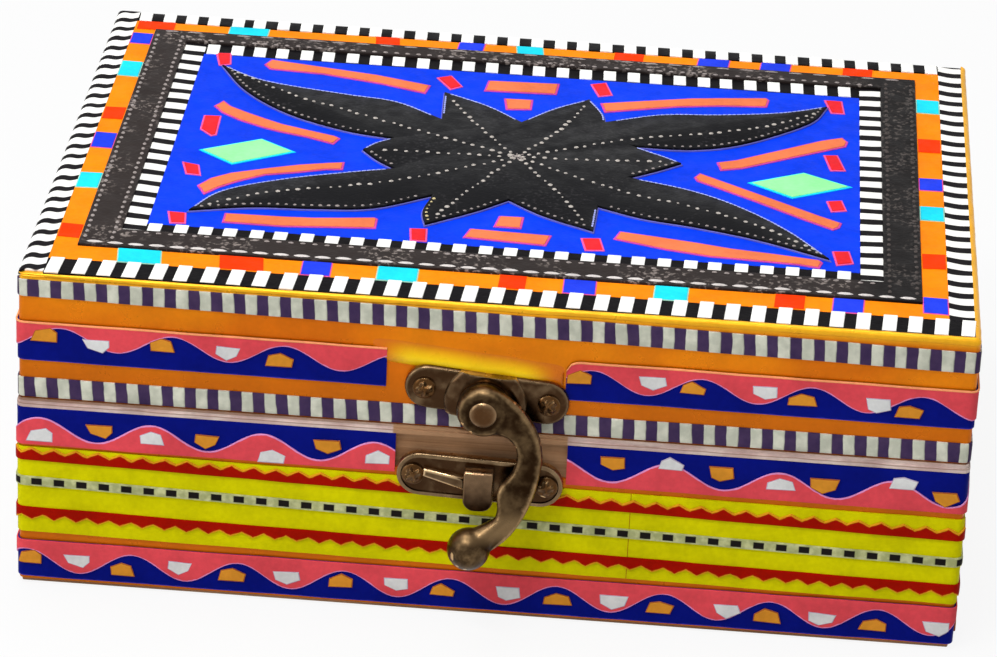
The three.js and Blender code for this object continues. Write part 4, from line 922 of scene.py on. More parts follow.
def block_outlines(colour):
    """Corner points of every block of one colour, side by side round the border."""
    found = []
    for blocks, y0, y1 in ((FRONT_BLOCKS, outer_low.y, frame_low.y),
                           (BACK_BLOCKS, frame_high.y, outer_high.y)):
        for a, b, own in blocks:
            if own == colour:
                lean = uneven(a, 0.5)
                found.append([(a, y0), (b, y0), (b + lean, y1), (a + lean, y1)])
    for blocks, x0, x1 in ((LEFT_BLOCKS, outer_low.x, frame_low.x),
                           (RIGHT_BLOCKS, frame_high.x, outer_high.x)):
        for a, b, own in blocks:
            if own == colour:
                lean = uneven(a, 0.5)
                found.append([(x0, a), (x1, a + lean), (x1, b + lean), (x0, b)])
    return found


def shrunk(points, by):
    """Outline moved inwards by a distance, corner by corner."""
    moved = []
    for i, point in enumerate(points):
        here, before, after = (Vector((*points[k % len(points)], 0)) for k in (i, i - 1, i + 1))
        one = (here - before).normalized()
        two = (after - here).normalized()
        inward = Vector((-(one.y + two.y), one.x + two.x, 0))
        scale = by / max(0.35, inward.length / 2)
        moved.append(tuple((here + inward.normalized() * scale).to_2d()))
    return moved


def inlay(name, outlines, rim, sink, tall, finishes, slot=None):
    """Each outline as a rim piece below and a smaller coloured piece on it."""
    seat = level(STRIP_TOP - sink)
    parts = []
    for points in outlines:
        if sum(a[0] * b[1] - b[0] * a[1] for a, b in zip(points, points[1:] + points[:1])) < 0:
            points = points[::-1]
        parts.append(plate(points, tall * 0.6, 0.06, seat, finish=1))
        parts.append(plate(shrunk(points, rim), tall, 0.08, seat, finish=0))
    piece(name, joined(parts), finishes, "lid", slot=slot)


for colour, rim, tall, finishes, slot in (
        ("cyan", 0.22, 0.32, [CYAN, CYAN_EDGE], None),
        ("red", 0.2, 0.3, [BLOCK_RED, ORANGE], "orange_leather"),
        ("blue", 0.2, 0.3, [BLOCK_BLUE, SLIP_EDGE], "bright_blue_leather")):
    inlay(f"blocks_{colour}", block_outlines(colour), rim, BLOCK_SINK, tall, finishes, slot)

# Pieces laid on the blue field, corner by corner
BARS = [
    [(-50.0, 39.8), (-39.5, 37.8), (-29.5, 35.9), (-19.0, 32.6), (-19.7, 28.6),
     (-28.5, 31.7), (-39.5, 34.4), (-49.8, 35.1), (-51.1, 37.2)],
    [(-8.5, 36.8), (5.0, 37.5), (4.7, 32.3), (-9.0, 31.7)],
    [(-5.0, 28.9), (0.5, 29.1), (0.5, 24.4), (-4.3, 23.7)],
    [(13.0, 29.7), (21.5, 32.3), (30.0, 34.9), (35.2, 35.9), (44.0, 37.4), (44.6, 36.4), (44.2, 33.1),
     (35.2, 32.0), (27.5, 30.3), (14.0, 25.5)],
    [(-56.5, 19.2), (-54.8, 16.8), (-51.2, 14.3), (-47.8, 12.2), (-44.5, 10.3), (-39.5, 8.4), (-34.5, 6.6),
     (-33.3, 5.6), (-34.3, 2.8), (-39.5, 5.1), (-44.5, 6.6), (-47.8, 8.0), (-52.8, 10.8), (-56.2, 13.6),
     (-58.0, 16.4)],
    [(-56.5, -18.8), (-54.5, -15.3), (-51.2, -12.5), (-44.9, -9.4), (-39.5, -7.0), (-34.5, -5.4),
     (-31.5, -4.6), (-31.5, -8.0), (-34.5, -8.5), (-39.5, -10.6), (-44.9, -12.5), (-49.5, -16.1),
     (-52.5, -19.2), (-54.8, -22.5)],
    [(-50.2, -29.5), (-39.5, -29.3), (-34.5, -28.9), (-29.5, -28.1), (-24.0, -27.1), (-23.3, -27.6),
     (-23.3, -31.6), (-29.5, -32.3), (-39.5, -33.5), (-50.2, -33.4)],
    [(-2.3, -22.9), (2.2, -22.7), (2.0, -27.6), (-3.0, -27.6)],
    [(-7.0, -28.9), (7.5, -29.5), (6.7, -33.9), (-8.0, -32.8)],
    [(19.2, -25.8), (25.5, -26.9), (32.5, -28.2), (39.0, -29.7), (46.7, -30.7), (54.4, -31.9),
     (55.0, -32.9), (54.4, -35.3), (50.6, -34.5), (35.2, -33.7), (27.5, -32.1), (18.2, -29.2)],
    [(35.4, 6.4), (39.0, 8.1), (46.7, 13.7), (54.4, 19.4), (58.3, 21.4), (59.4, 19.5), (59.0, 17.3),
     (54.4, 14.2), (46.7, 8.9), (40.2, 4.4), (36.2, 2.9)],
    [(32.5, 1.2), (39.0, -3.2), (46.7, -8.4), (54.4, -13.7), (58.3, -16.1), (57.9, -18.1), (56.7, -19.3),
     (50.6, -15.2), (42.9, -9.6), (35.2, -4.4), (32.1, -2.4), (31.5, -0.8)],
]
LOZENGES = [
    [(-58.2, -3.5), (-47.5, 3.2), (-40.7, -1.7), (-51.5, -8.9)],
    [(41.2, -1.5), (51.3, 4.6), (60.2, -0.4), (49.4, -7.0)],
]
SLIPS = [
    [(-60.8, 41.2), (-57.8, 41.5), (-57.2, 36.2), (-59.5, 35.2)],
    [(-59.3, 11.9), (-56.0, 12.1), (-55.8, 3.5), (-56.8, 2.8), (-59.2, 5.6)],
    [(-60.5, -9.1), (-57.2, -10.1), (-56.3, -14.6), (-59.2, -14.3)],
    [(-60.2, -30.3), (-56.8, -30.5), (-56.3, -34.9), (-59.2, -35.2)],
    [(-18.3, 36.5), (-15.5, 38.0), (-13.0, 33.1), (-15.3, 31.2)],
    [(10.7, 38.3), (13.7, 39.6), (15.2, 33.8), (12.5, 32.6)],
    [(-17.5, -30.5), (-14.3, -30.2), (-14.0, -35.5), (-17.0, -35.5)],
    [(12.5, -29.7), (16.0, -29.2), (17.0, -34.2), (13.5, -34.7)],
    [(54.8, 38.3), (58.3, 38.3), (58.8, 32.3), (56.1, 32.3)],
    [(54.8, 12.9), (57.5, 13.3), (59.0, 6.5), (56.1, 6.1)],
    [(55.4, -7.2), (58.3, -6.4), (59.2, -10.8), (56.3, -11.7)],
    [(56.5, -28.0), (59.6, -27.5), (60.4, -32.5), (57.3, -33.7)],
]
INLAY_SINK, INLAY_TALL = 0.05, 0.34
field_low, field_high = node_box("top_blue_field")
field_outline = [(field_low.x, field_low.y), (field_high.x, field_low.y), (field_high.x, field_high.y),
                 (field_low.x, field_high.y)]
piece("field_blue", plate(field_outline, STRIP_TOP - field_low.z, 0.08, level(field_low.z)),
      [FIELD_BLUE], "lid", slot="bright_blue_leather", stands_for=["top_blue_field"])
for kind, outlines, rim, finishes, slot in (
        ("bars", BARS, 0.38, [SALMON, MAGENTA], "orange_leather"),
        ("lozenges", LOZENGES, 0.45, [GREEN, CYAN], None),
        ("slips", SLIPS, 0.34, [SLIP_RED, SLIP_EDGE], "red_leather")):
    inlay(f"inlay_{kind}", outlines, rim, INLAY_SINK, INLAY_TALL, finishes, slot)

# Flower's outline, run by run from tip to notch
FLOWER_RUNS = [
    [(-59.0, 35.0), (-49.8, 28.6), (-34.5, 24.9), (-24.5, 22.9), (-15.8, 16.6)],
    [(-15.8, 16.6), (-16.3, 29.1)],
    [(-16.3, 29.1), (-7.5, 23.8), (-1.0, 17.6)],
    [(-1.0, 17.6), (4.5, 24.5), (11.0, 30.2)],
    [(11.0, 30.2), (13.8, 24.0), (14.5, 20.2)],
    [(14.5, 20.2), (24.5, 25.2), (35.2, 27.0), (46.7, 29.9), (55.6, 34.4)],
    [(55.6, 34.4), (52.1, 25.9), (40.6, 15.0), (31.0, 10.6), (20.0, 10.1)],
    [(20.0, 10.1), (25.5, 6.6), (29.2, 4.0)],
    [(29.2, 4.0), (25.0, 0.2), (20.0, -3.8)],
    [(20.0, -3.8), (31.3, -7.6), (40.2, -13.2), (49.0, -21.9), (56.3, -32.3)],
    [(56.3, -32.3), (43.6, -26.2), (32.5, -22.7), (23.0, -20.6), (15.0, -17.1)],
    [(15.0, -17.1), (14.7, -27.4)],
    [(14.7, -27.4), (5.5, -22.4), (-1.0, -16.9)],
    [(-1.0, -16.9), (-6.5, -22.5), (-15.0, -29.5)],
    [(-15.0, -29.5), (-15.9, -24.0), (-14.8, -17.4)],
    [(-14.8, -17.4), (-24.5, -24.0), (-34.5, -25.9), (-45.5, -27.0), (-56.7, -30.2)],
    [(-56.7, -30.2), (-52.0, -21.5), (-42.0, -14.8), (-30.0, -9.6), (-22.5, -6.8)],
    [(-22.5, -6.8), (-26.0, -3.4), (-28.9, 0.6)],
    [(-28.9, 0.6), (-27.0, 3.6), (-24.0, 6.4)],
    [(-24.0, 6.4), (-33.0, 8.6), (-44.0, 14.4), (-53.0, 23.6), (-59.0, 35.0)],
]


def smooth_run(run, per_span):
    """Points on a smooth curve through a run, without its last one."""
    points = [Vector((*p, 0)) for p in run]
    padded = [2 * points[0] - points[1], *points, 2 * points[-1] - points[-2]]
    curve = []
    for a, b, c, d in zip(padded, padded[1:], padded[2:], padded[3:]):
        for k in range(per_span):
            t = k / per_span
            curve.append(0.5 * (2 * b + (c - a) * t + (2 * a - 5 * b + 4 * c - d) * t * t
                                + (3 * b - a - 3 * c + d) * t * t * t))
    return [(p.x, p.y) for p in curve]


def spaced(points, pitch):
    """Points and headings every pitch along an open line."""
    found = []
    carried = pitch / 2
    for a, b in zip(points, points[1:]):
        a, b = Vector((*a, 0)), Vector((*b, 0))
        length = (b - a).length
        while carried <= length:
            here = a.lerp(b, carried / length)
            found.append((here.x, here.y, math.atan2(b.y - a.y, b.x - a.x)))
            carried += pitch
        carried -= length
    return found


FLOWER_THICK = 0.75
flower = [p for run in FLOWER_RUNS for p in smooth_run(run, 6)][::-1]
flower_body = plate(shrunk(flower, 0.12), FLOWER_THICK, 0.22, level(STRIP_TOP), segments=2)
flower_rim = plate(shrunk(flower, -0.08), 0.3, 0.08, level(STRIP_TOP), finish=1)
piece("flower_leather", joined([flower_body, flower_rim]), [BLACK, LILAC_EDGE], "lid", slot="black_leather",
      stands_for=["top_flower"])

# Stitching on the flower: rows from each tip to the middle, and along the cut edges
FLOWER_MIDDLE = (-0.8, 1.5)
MIDRIBS = [
    [(-56.0, 31.8), (-45.0, 23.2), (-33.0, 17.0), (-20.0, 10.6), FLOWER_MIDDLE],
    [(53.5, 30.8), (44.0, 22.6), (32.0, 17.2), (20.0, 13.0), FLOWER_MIDDLE],
    [(54.0, -29.3), (42.0, -20.0), (30.0, -14.2), (18.0, -9.8), FLOWER_MIDDLE],
    [(-54.0, -27.8), (-43.0, -20.6), (-31.0, -16.4), (-19.0, -10.8), FLOWER_MIDDLE],
    [(-14.6, 25.6), (-9.0, 14.6), FLOWER_MIDDLE],
    [(10.4, 27.2), (6.2, 14.6), FLOWER_MIDDLE],
    [(26.0, 3.9), (13.0, 2.4), FLOWER_MIDDLE],
    [(12.8, -24.2), (7.2, -12.2), FLOWER_MIDDLE],
    [(-13.4, -26.2), (-7.6, -12.6), FLOWER_MIDDLE],
    [(-25.8, 0.6), (-13.0, 1.0), FLOWER_MIDDLE],
]
# Runs of the outline sewn with a pale cord, and the one sewn with gold thread
CORDED_RUNS = (0, 1, 2, 3, 4, 5, 7, 9, 11, 16, 18)
GOLD_RUN = 14
flower_top = STRIP_TOP + FLOWER_THICK
stitches = []
for rib in MIDRIBS:
    for x, y, heading in spaced(smooth_run(rib, 5) + [rib[-1]], 1.9):
        size = 0.68 + uneven(x + 7 * y, 0.2)
        stitches.append(bead(x + uneven(y, 0.2), y + uneven(x, 0.2), flower_top,
                             (size * 1.15, size, 0.3), heading))
for number, run in enumerate(FLOWER_RUNS):
    corded = number in CORDED_RUNS
    line = shrunk(smooth_run(run, 6) + [run[-1]], -0.42 if corded else -0.85)[1:-1]
    for x, y, heading in spaced(line, 0.9 if corded else 1.5):
        if corded:
            stitches.append(bead(x, y, flower_top - 0.06, (1.15, 0.44, 0.28), heading, 3))
        else:
            size = 0.6 + uneven(3 * x + y, 0.15)
            stitches.append(bead(x, y, flower_top, (size, size * 0.9, 0.26), heading,
                                 2 if number == GOLD_RUN else 1))
for n in range(9):
    heading = n * 0.7 + 0.2
    x = FLOWER_MIDDLE[0] + 0.9 * math.cos(heading)
    y = FLOWER_MIDDLE[1] + 0.9 * math.sin(heading)
    stitches.append(bead(x, y, flower_top, (1.4 + uneven(n, 0.6), 0.26, 0.2), heading, 1))
piece("stitches_flower", joined(stitches), [THREAD_PALE, THREAD_GREY, THREAD_GOLD, THREAD_LILAC], "lid")

# Stitching on the black frame: the pitch of its dotted rows
DOT_PITCH = 2.1


def sewn_across(y, inset, pitch, size, waver, finish):
    """Row of stitches along X on the frame, an inset from its ends."""
    return [bead(x, y + uneven(x, waver), FRAME_TOP, size, heading, finish)
            for x, y, heading in spaced([(frame_low.x + inset, y), (frame_high.x - inset, y)], pitch)]


stitches = sewn_across(frame_low.y + 1.0, 1, 3.6, (2.9, 0.82, 0.38), 0.12, 0)
stitches += sewn_across(frame_high.y - 0.9, 1, 4.6, (2.7, 0.5, 0.3), 0.12, 1)
for x in (frame_low.x + 0.9, frame_low.x + 5.6, frame_high.x - 5.6, frame_high.x - 0.9):
    for _, y, heading in spaced([(x, frame_low.y + 2), (x, frame_high.y - 2)], DOT_PITCH):
        stitches.append(bead(x + uneven(y, 0.1), y, FRAME_TOP, (1.0, 0.72, 0.34), heading,
                             1 if x < 0 else 2))
for y in (frame_low.y + 5.9, frame_high.y - 4.1):
    stitches += sewn_across(y, 8, DOT_PITCH, (1.0, 0.6, 0.3), 0.1, 1)
piece("stitches_frame", joined(stitches), [THREAD_WHITE, THREAD_GREY, THREAD_DARK], "lid")


def facing(y):
    """Frame on the front: x to the right, y up and z towards the viewer."""
    return Matrix(((1, 0, 0, 0), (0, 0, -1, y), (0, 1, 0, 0), (0, 0, 0, 1)))


def facing_back(y):
    """Frame on the back: x to the left, y up and z towards a viewer behind the box."""
    return Matrix(((-1, 0, 0, 0), (0, 0, 1, y), (0, 1, 0, 0), (0, 0, 0, 1)))


# Latch plates: middle, length and tilt, each with round ends of one height
PLATE_HEIGHT = 8.1
UPPER_PLATE = {"cx": -1.05, "cz": 43.5, "length": 28.4, "tilt": math.radians(-4.6)}
LOWER_PLATE = {"cx": -1.55, "cz": 27.8, "length": 28.8, "tilt": math.radians(-2.0)}


def along_plate(inset, sign, cx, cz, length, tilt):
    """Point on a latch plate's middle line, an inset from its right or left end."""
    reach = sign * (length / 2 - inset)
    return cx + reach * math.cos(tilt), cz + reach * math.sin(tilt)


def plate_outline(size, steps):
    """Outline of a latch plate, with two round ends."""
    r = PLATE_HEIGHT / 2
    points = []
    for sign in (1, -1):
        ex, ez = along_plate(r, sign, **size)
        for k in range(steps + 1):
            turn = size["tilt"] + math.pi * (k / steps - 0.5) + (0 if sign > 0 else math.pi)
            points.append((ex + r * math.cos(turn), ez + r * math.sin(turn)))
    return points


# Grid of a screw head, from its middle to its rim: half the width and the reach of the cross
ARM_HALF, ARM_REACH = 0.21, 0.68
HALF_GRID = (ARM_HALF, 0.44, ARM_REACH, 0.78, 0.86, 0.94, 1.0)
GRID = [-line for line in reversed(HALF_GRID)] + [0.0, *HALF_GRID]


def screw_head(radius, height, stand, turn):
    """Domed head with a cross recess, in a frame that stands on its seat."""
    bm = bmesh.new()
    cells = len(GRID) - 1
    bmesh.ops.create_grid(bm, x_segments=cells, y_segments=cells, size=1.0)
    near, far = HALF_GRID.index(ARM_HALF) + 1, HALF_GRID.index(ARM_REACH) + 1
    recess = []
    for face in bm.faces:
        across, along = sorted(abs(value) * cells / 2 for value in face.calc_center_median().xy)
        if across < near and along < far:
            recess.append(face)
    for vert in bm.verts:
        a = GRID[round((vert.co.x + 1) / 2 * cells)]
        b = GRID[round((vert.co.y + 1) / 2 * cells)]
        px, py = a * math.sqrt(1 - b * b / 2), b * math.sqrt(1 - a * a / 2)
        vert.co = (px * radius, py * radius, height * (1 - 0.5 * (px * px + py * py) ** 2))
    rim = [edge for edge in bm.edges if edge.is_boundary]
    for vert in points_of(bmesh.ops.extrude_edge_only(bm, edges=rim)["geom"]):
        vert.co.z = 0.0
    sunk = points_of(bmesh.ops.extrude_face_region(bm, geom=recess)["geom"])
    # The recess walls and floor take the second finish, painted shade
    for vert in sunk:
        for face in vert.link_faces:
            face.material_index = 1
    bmesh.ops.translate(bm, verts=sunk, vec=(0, 0, -0.8 * height))
    closed(bm)
    bmesh.ops.transform(bm, matrix=stand @ Matrix.Rotation(turn, 4, "Z"), verts=bm.verts)
    return bm


def bezier(a, b, c, d, steps):
    """Points on a curve from a to d with handles b and c, without its last one."""
    found = []
    for k in range(steps):
        t = k / steps
        weights = ((1 - t) ** 3, 3 * t * (1 - t) ** 2, 3 * t * t * (1 - t), t ** 3)
        found.append(tuple(sum(weight * place for weight, place in zip(weights, places))
                           for places in zip(a, b, c, d)))
    return found


# Latch: upper plate with its round boss, cut off at the plate's long edges
UPPER_BACK, UPPER_FACE = -58.9, -60.1
HOOK_BACK, HOOK_FACE = -62.5, -64.7


def at_rivet(y):
    """Frame on the rivet's middle at a depth, z towards the viewer."""
    return facing(y) @ Matrix.Translation((-1.3, 42.3, 0))


boss = turned([(0, 0), (7.1, 0), (7.1, 1.2), (6.95, 1.45), (6.65, 1.7), (6.2, 1.95), (5.7, 2.12),
               (5.2, 2.2), (0, 2.2)], at_rivet(UPPER_BACK), 64)
for side in (1, -1):
    tilt = UPPER_PLATE["tilt"]
    across = Vector((-math.sin(tilt), 0, math.cos(tilt))) * side
    edge_point = Vector((UPPER_PLATE["cx"], 0, UPPER_PLATE["cz"])) + across * PLATE_HEIGHT / 2
    sliced(boss, edge_point, across, 0.0001, clear_outer=True)
    closed(boss)
bulge = turned([(0, 0), (5.3, 0), (5.3, 1.4), (5.1, 1.85), (4.6, 2.15), (4.2, 2.2), (0, 2.2)],
               at_rivet(UPPER_BACK), 56)
upper_body = plate(plate_outline(UPPER_PLATE, 14), UPPER_BACK - UPPER_FACE, 0.7,
                   facing(UPPER_BACK), segments=5)
piece("latch_plate_upper", joined([upper_body, boss, bulge]), [BRONZE], "lid", slot="bronze",
      stands_for=["latch_upper_plate"], crease=50)
rivet = turned([(0, -5.0), (1.2, -5.0), (1.2, -0.2), (2.4, -0.2), (2.45, 0.1), (2.3, 0.42), (1.9, 0.68),
                (1.3, 0.84), (0.6, 0.9), (0, 0.91)], at_rivet(HOOK_FACE), 40)
piece("latch_rivet_domed", rivet, [RIVET_BRONZE], "lid", slot="bronze", stands_for=["latch_rivet"],
      crease=50)

# Hook's outline round the rivet: two handles and the end of each curve, and its steps
HOOK_START = (1.5, 4.4)
HOOK_CURVES = [
    ((6.9, 2.9), (10.9, -3.7), (10.5, -9.1), 16),
    ((10.2, -14.3), (8.2, -18.7), (5.9, -21.7), 12),
    ((4.4, -23.6), (1.6, -25.9), (-1.3, -26.7), 6),
    ((-1.9, -25.8), (-2.5, -24.8), (-3.1, -23.9), 2),
    ((-1.2, -23.0), (3.2, -21.0), (3.2, -17.4), 10),
    ((3.1, -15.8), (2.4, -14.6), (3.6, -13.1), 5),
    ((5.4, -11.6), (6.2, -9.8), (6.0, -7.6), 8),
    ((5.8, -5.4), (4.2, -4.3), (2.4, -4.1), 7),
    ((1.6, -4.1), (0.8, -4.1), (0.0, -4.1), 3),
    ((-1.2, -1.5), (-0.6, 3.0), HOOK_START, 6),
]
hook_line = []
corner = HOOK_START
for first_handle, second_handle, end, steps in HOOK_CURVES:
    hook_line += bezier(corner, first_handle, second_handle, end, steps)
    corner = end
arm = plate(hook_line[::-1], HOOK_BACK - HOOK_FACE, 1.0, segments=5, both=True)

# The bar, cut across so that it can bend, leans forwards from beside the nose and less near the ball
CUTS, FIRST_CUT, CUT_PITCH = 21, -8.95, 0.95
LEAN_FROM, LEAN = -10.4, 0.3
EASE_PAST, EASE = 7.0, 0.035
for k in range(CUTS):
    sliced(arm, (0, FIRST_CUT - k * CUT_PITCH, 0), (0, 1, 0))
for vert in arm.verts:
    below = max(0.0, LEAN_FROM - vert.co.y)
    past = max(0.0, below - EASE_PAST)
    vert.co.z += LEAN * below - EASE * past * past / 3
bmesh.ops.transform(arm, matrix=at_rivet(HOOK_BACK), verts=arm.verts)
disc = turned([(0, -1.4), (3.4, -1.4), (4.4, -1.2), (4.65, -0.5), (4.72, 0.3), (4.65, 1.2), (4.4, 1.9),
               (3.95, 2.35), (3.2, 2.5), (0, 2.5)], at_rivet(HOOK_BACK), 56)

# Ball, and ever smaller balls that fill its neck
BALL, BALL_RADIUS = Vector((-2.6, -67.5, 17.6)), 3.75
NECK, NECK_THINNER = Vector((3.5, -66.1, 23.0)), 2.45
NECK_STEPS = 15
knob = []
for k in range(NECK_STEPS + 1):
    share = k / NECK_STEPS
    ball = bmesh.new()
    bmesh.ops.create_uvsphere(ball, u_segments=40, v_segments=24,
                              radius=BALL_RADIUS - NECK_THINNER * math.sqrt(share),
                              matrix=Matrix.Translation(BALL.lerp(NECK, share)))
    knob.append(ball)
hook = piece("latch_hook_cast", joined([arm, disc, *knob]), [CAST], "hook", slot="bronze",
             stands_for=["latch_hook"], crease=180)
# The cast hook is one skin, its joins filled and softened
skin = hook.modifiers.new("skin", "REMESH")
skin.mode = "VOXEL"
skin.voxel_size = 0.2 * MM
skin.use_smooth_shade = True
soften = hook.modifiers.new("soften", "SMOOTH")
soften.factor = 0.5
soften.iterations = 24

# Latch: lower plate with a raised rim, a rib and the nose
LOWER_BACK, LOWER_FACE = -60.0, -61.2
lower = plate(plate_outline(LOWER_PLATE, 16), 1.5, 0.3, facing(LOWER_BACK), segments=3)
face_plane = max(lower.faces, key=lambda f: (-f.calc_center_median().y, f.calc_area()))
bmesh.ops.inset_region(lower, faces=[face_plane], thickness=0.42, depth=0.0, use_even_offset=True)
bmesh.ops.inset_region(lower, faces=[face_plane], thickness=0.14, depth=-0.32, use_even_offset=True)
rib = plate([(-11.4, 28.2), (-4.0, 25.9), (-4.0, 28.3), (-11.2, 29.7)], 1.1, 0.55,
            facing(LOWER_FACE), segments=4)
nose_side = [(-59.9, 29.0), (-62.4, 28.7), (-62.7, 28.4), (-62.7, 23.0), (-64.0, 23.0), (-64.0, 29.8),
             (-63.7, 30.3), (-63.2, 30.5), (-59.9, 30.5)]
nose_turn = Matrix(((0, 0, 1, -4.2), (1, 0, 0, 0), (0, 1, 0, 0), (0, 0, 0, 1)))
nose = plate(nose_side, 5.15, 0.0, nose_turn)
bmesh.ops.recalc_face_normals(nose, faces=nose.faces)
tongue_ends = [e for e in nose.edges if all(v.co.z < 23.1 for v in e.verts)
               and abs(e.verts[0].co.x - e.verts[1].co.x) < 0.1]
bmesh.ops.bevel(nose, geom=tongue_ends, offset=2.0, segments=6, profile=0.5, affect="EDGES", material=-1)
bmesh.ops.remove_doubles(nose, verts=nose.verts, dist=0.01)
corners = [e for e in nose.edges if e.is_manifold and e.calc_face_angle() > 0.9]
bmesh.ops.bevel(nose, geom=corners, offset=0.32, segments=3, profile=0.5, affect="EDGES", material=-1)
# The nose takes the darker copy of the bronze, painted shade
piece("latch_plate_lower", joined([lower, rib, finished(nose, 1)]), [BRONZE, NOSE_BRONZE_SHADED], "base",
      slot="bronze", stands_for=["latch_lower_plate"], crease=50)

# Screws of the latch, the left one of each plate first
for place, size, inset, seat, body, turns in (
        ("upper", UPPER_PLATE, 3.45, UPPER_FACE, "lid", (0.2, 0.75)),
        ("lower", LOWER_PLATE, 2.85, LOWER_FACE, "base", (0.5, 0.1))):
    for sign, side, turn in zip((-1, 1), ("left", "right"), turns):
        name = f"latch_screw_{place}_{side}"
        stand = facing(seat) @ Matrix.Translation((*along_plate(inset, sign, **size), 0))
        piece(f"{name}_head", screw_head(1.95, 0.9, stand, turn), [SCREW, RECESS_SHADE], body, slot="bronze",
              stands_for=[name], crease=40)

# Hinges: screws and pins
HINGE_HEAD_TALL = 0.5
for side in ("left", "right"):
    for body in ("base", "lid"):
        for spot in ("inner", "outer"):
            name = f"hinge_{side}_{body}_screw_{spot}"
            low, high = node_box(name)
            middle = (low + high) / 2
            stand = facing_back(high.y - HINGE_HEAD_TALL) @ Matrix.Translation((-middle.x, middle.z, 0))
            piece(f"{name}_head", screw_head(1.6, HINGE_HEAD_TALL, stand, middle.x), [BRASS, RECESS_SHADE],
                  body, slot="hinge_brass", stands_for=[name], crease=40)
    name = f"hinge_{side}_pin"
    low, high = node_box(name)
    length = high.x - low.x
    shaft = [(0, 0), (0.9, 0), (1.25, 0.12), (1.3, 0.42), (0.8, 0.5), (0.8, length - 0.5),
             (1.3, length - 0.42), (1.25, length - 0.12), (0.9, length), (0, length)]
    lying = Matrix.Translation((low.x, (low.y + high.y) / 2, (low.z + high.z) / 2))
    lying = lying @ Matrix.Rotation(math.pi / 2, 4, "Y")
    piece(f"{name}_turned", turned(shaft, lying, 24), [BRASS], "base", slot="hinge_brass",
          stands_for=[name], crease=40)

# Finishes of the model nodes that stay in view
NODE_FINISHES = {
    "bare_wood": (WOOD, 0.25, ["base_floor_panel", "base_front_wall", "base_back_wall", "base_left_wall",
                               "base_right_wall", "lid_top_panel", "lid_front_rail", "lid_back_rail",
                               "lid_left_rail", "lid_right_rail"]),
    "golden_foil": (FOIL, 0.15, ["base_cover", "lid_cover"]),
    "pale_edging": (EDGING, 0.2, ["base_rim_edging"]),
    "orange_leather": (ORANGE, 0.08, ["top_block_border"]),
    "black_leather": (FRAME_BLACK, 0.22, ["top_leather_frame"]),
    "hinge_brass": (BRASS, 0.12, ["hinge_left_base_leaf", "hinge_left_lid_leaf", "hinge_right_base_leaf",
                                  "hinge_right_lid_leaf"]),
    "black_and_white_leather": (STRIP_BLACK, 0.1, ["top_check_strip_front", "inner_check_strip_front",
                                                   "inner_check_strip_back"]),
}
ZEBRA_NODES = {"top_zebra_strip_right": ZEBRA_RIGHT, "inner_zebra_strip_left": ZEBRA_INNER_LEFT,
               "inner_zebra_strip_right": ZEBRA_INNER_RIGHT}


def dress(name, finish, ease, slot):
    """Finish on a model node, its edges eased by a modifier."""
    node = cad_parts[name]
    node.data.materials.clear()
    node.data.materials.append(finish)
    weld = node.modifiers.new("join", "WELD")
    weld.merge_threshold = 0.00001
    bevel = node.modifiers.new("ease", "BEVEL")
    bevel.width = ease * MM
    bevel.segments = 2
    bevel.limit_method = "ANGLE"
    bevel.angle_limit = math.radians(40)


for slot_name, (finish, ease, names) in NODE_FINISHES.items():
    for node_name in names:
        dress(node_name, finish, ease, slot_name)
for node_name, finish in ZEBRA_NODES.items():
    dress(node_name, finish, 0.1, "black_and_white_leather")

# Camera at the photograph's place and angle
camera_data = bpy.data.cameras.new("camera")
camera_data.lens = 159.52
camera_data.sensor_width = 36
camera_data.clip_start = 0.05
camera_data.clip_end = 20
camera = placed("camera", camera_data)
camera.matrix_world = Matrix((
    (0.996584, -0.070135, 0.043597, 0.033025),
    (0.070302, 0.443548, -0.893489, -0.728695),
    (0.043327, 0.893502, 0.446963, 0.391015),
    (0, 0, 0, 1),
))
bpy.context.scene.camera = camera
bpy.context.scene.view_settings.view_transform = "Standard"


def soft_light(name, place, aim, size, power):
    """Wide white lamp at a place, turned to what it lights, in metres."""
    data = bpy.data.lights.new(name, "AREA")
    data.shape = "RECTANGLE"
    data.size, data.size_y = size
    data.energy = power
    light = placed(name, data)
    light.location = place
    light.rotation_euler = (Vector(aim) - Vector(place)).to_track_quat("-Z", "Y").to_euler()


soft_light("overhead", (-0.1, 0.1, 0.75), (0, 0, 0.03), (0.5, 0.35), 3.1)
soft_light("left", (-0.7, -0.45, 0.35), (0, -0.02, 0.03), (0.3, 0.4), 1.3)
soft_light("upper strip", (-0.14, -0.32, 0.6), (0, -0.06, 0.04), (0.3, 0.1), 1.9)


def seen_directly(nodes, links):
    """One for rays from the camera, from a gloss or through glass."""
    ray = nodes.new("ShaderNodeLightPath")
    seen = ray.outputs["Is Camera Ray"]
    for kind in ("Is Glossy Ray", "Is Transmission Ray"):
        either = nodes.new("ShaderNodeMath")
        either.operation = "MAXIMUM"
        links.new(seen, either.inputs[0])
        links.new(ray.outputs[kind], either.inputs[1])
        seen = either.outputs[0]
    return seen


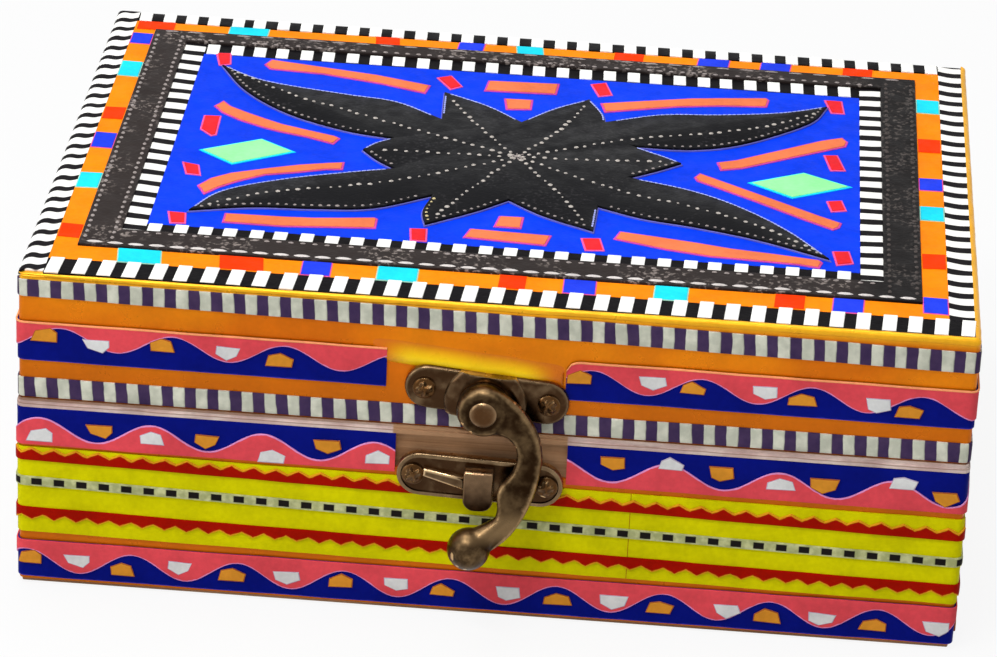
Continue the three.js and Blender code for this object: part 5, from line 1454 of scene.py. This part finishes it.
# Room that lights the box from above, and is white to the camera and to the metal
world = bpy.data.worlds.new("studio")
bpy.context.scene.world = world
world.use_nodes = True
world_nodes, world_links = world.node_tree.nodes, world.node_tree.links
room = world_nodes["Background"]
room.inputs["Color"].default_value = (0.95, 0.97, 1.0, 1.0)
sky = world_nodes.new("ShaderNodeTexCoord")
rise = world_nodes.new("ShaderNodeSeparateXYZ")
strength = world_nodes.new("ShaderNodeMapRange")
for socket, value in zip(list(strength.inputs)[1:5], (0.3, 0.8, 0.2, 0.5)):
    socket.default_value = value
world_links.new(sky.outputs["Generated"], rise.inputs[0])
world_links.new(rise.outputs["Z"], strength.inputs[0])
world_links.new(strength.outputs[0], room.inputs["Strength"])
white = world_nodes.new("ShaderNodeBackground")
white.inputs["Strength"].default_value = 1.0
choice = world_nodes.new("ShaderNodeMixShader")
world_links.new(seen_directly(world_nodes, world_links), choice.inputs[0])
world_links.new(room.outputs[0], choice.inputs[1])
world_links.new(white.outputs[0], choice.inputs[2])
world_links.new(choice.outputs[0], world_nodes["World Output"].inputs["Surface"])

# Pale floor that the camera and the metal see as near white
floor_shape = bmesh.new()
bmesh.ops.create_grid(floor_shape, x_segments=1, y_segments=1, size=4.0)
floor_mesh = bpy.data.meshes.new("floor")
floor_shape.to_mesh(floor_mesh)
floor_shape.free()
floor = placed("floor", floor_mesh)
floor.location = (0, 0, -0.0002)
pale = bpy.data.materials.new("pale floor")
pale.use_nodes = True
floor_mesh.materials.append(pale)
floor_nodes, floor_links = pale.node_tree.nodes, pale.node_tree.links
matt = floor_nodes["Principled BSDF"]
matt.inputs["Base Color"].default_value = (0.7, 0.7, 0.7, 1)
matt.inputs["Roughness"].default_value = 0.8
whiter = floor_nodes.new("ShaderNodeEmission")
most = floor_nodes.new("ShaderNodeMath")
most.operation = "MULTIPLY"
most.inputs[1].default_value = 0.9
blend = floor_nodes.new("ShaderNodeMixShader")
for output, socket in ((seen_directly(floor_nodes, floor_links), most.inputs[0]),
                       (most.outputs[0], blend.inputs[0]), (matt.outputs[0], blend.inputs[1]),
                       (whiter.outputs[0], blend.inputs[2]),
                       (blend.outputs[0], floor_nodes["Material Output"].inputs["Surface"])):
    floor_links.new(output, socket)
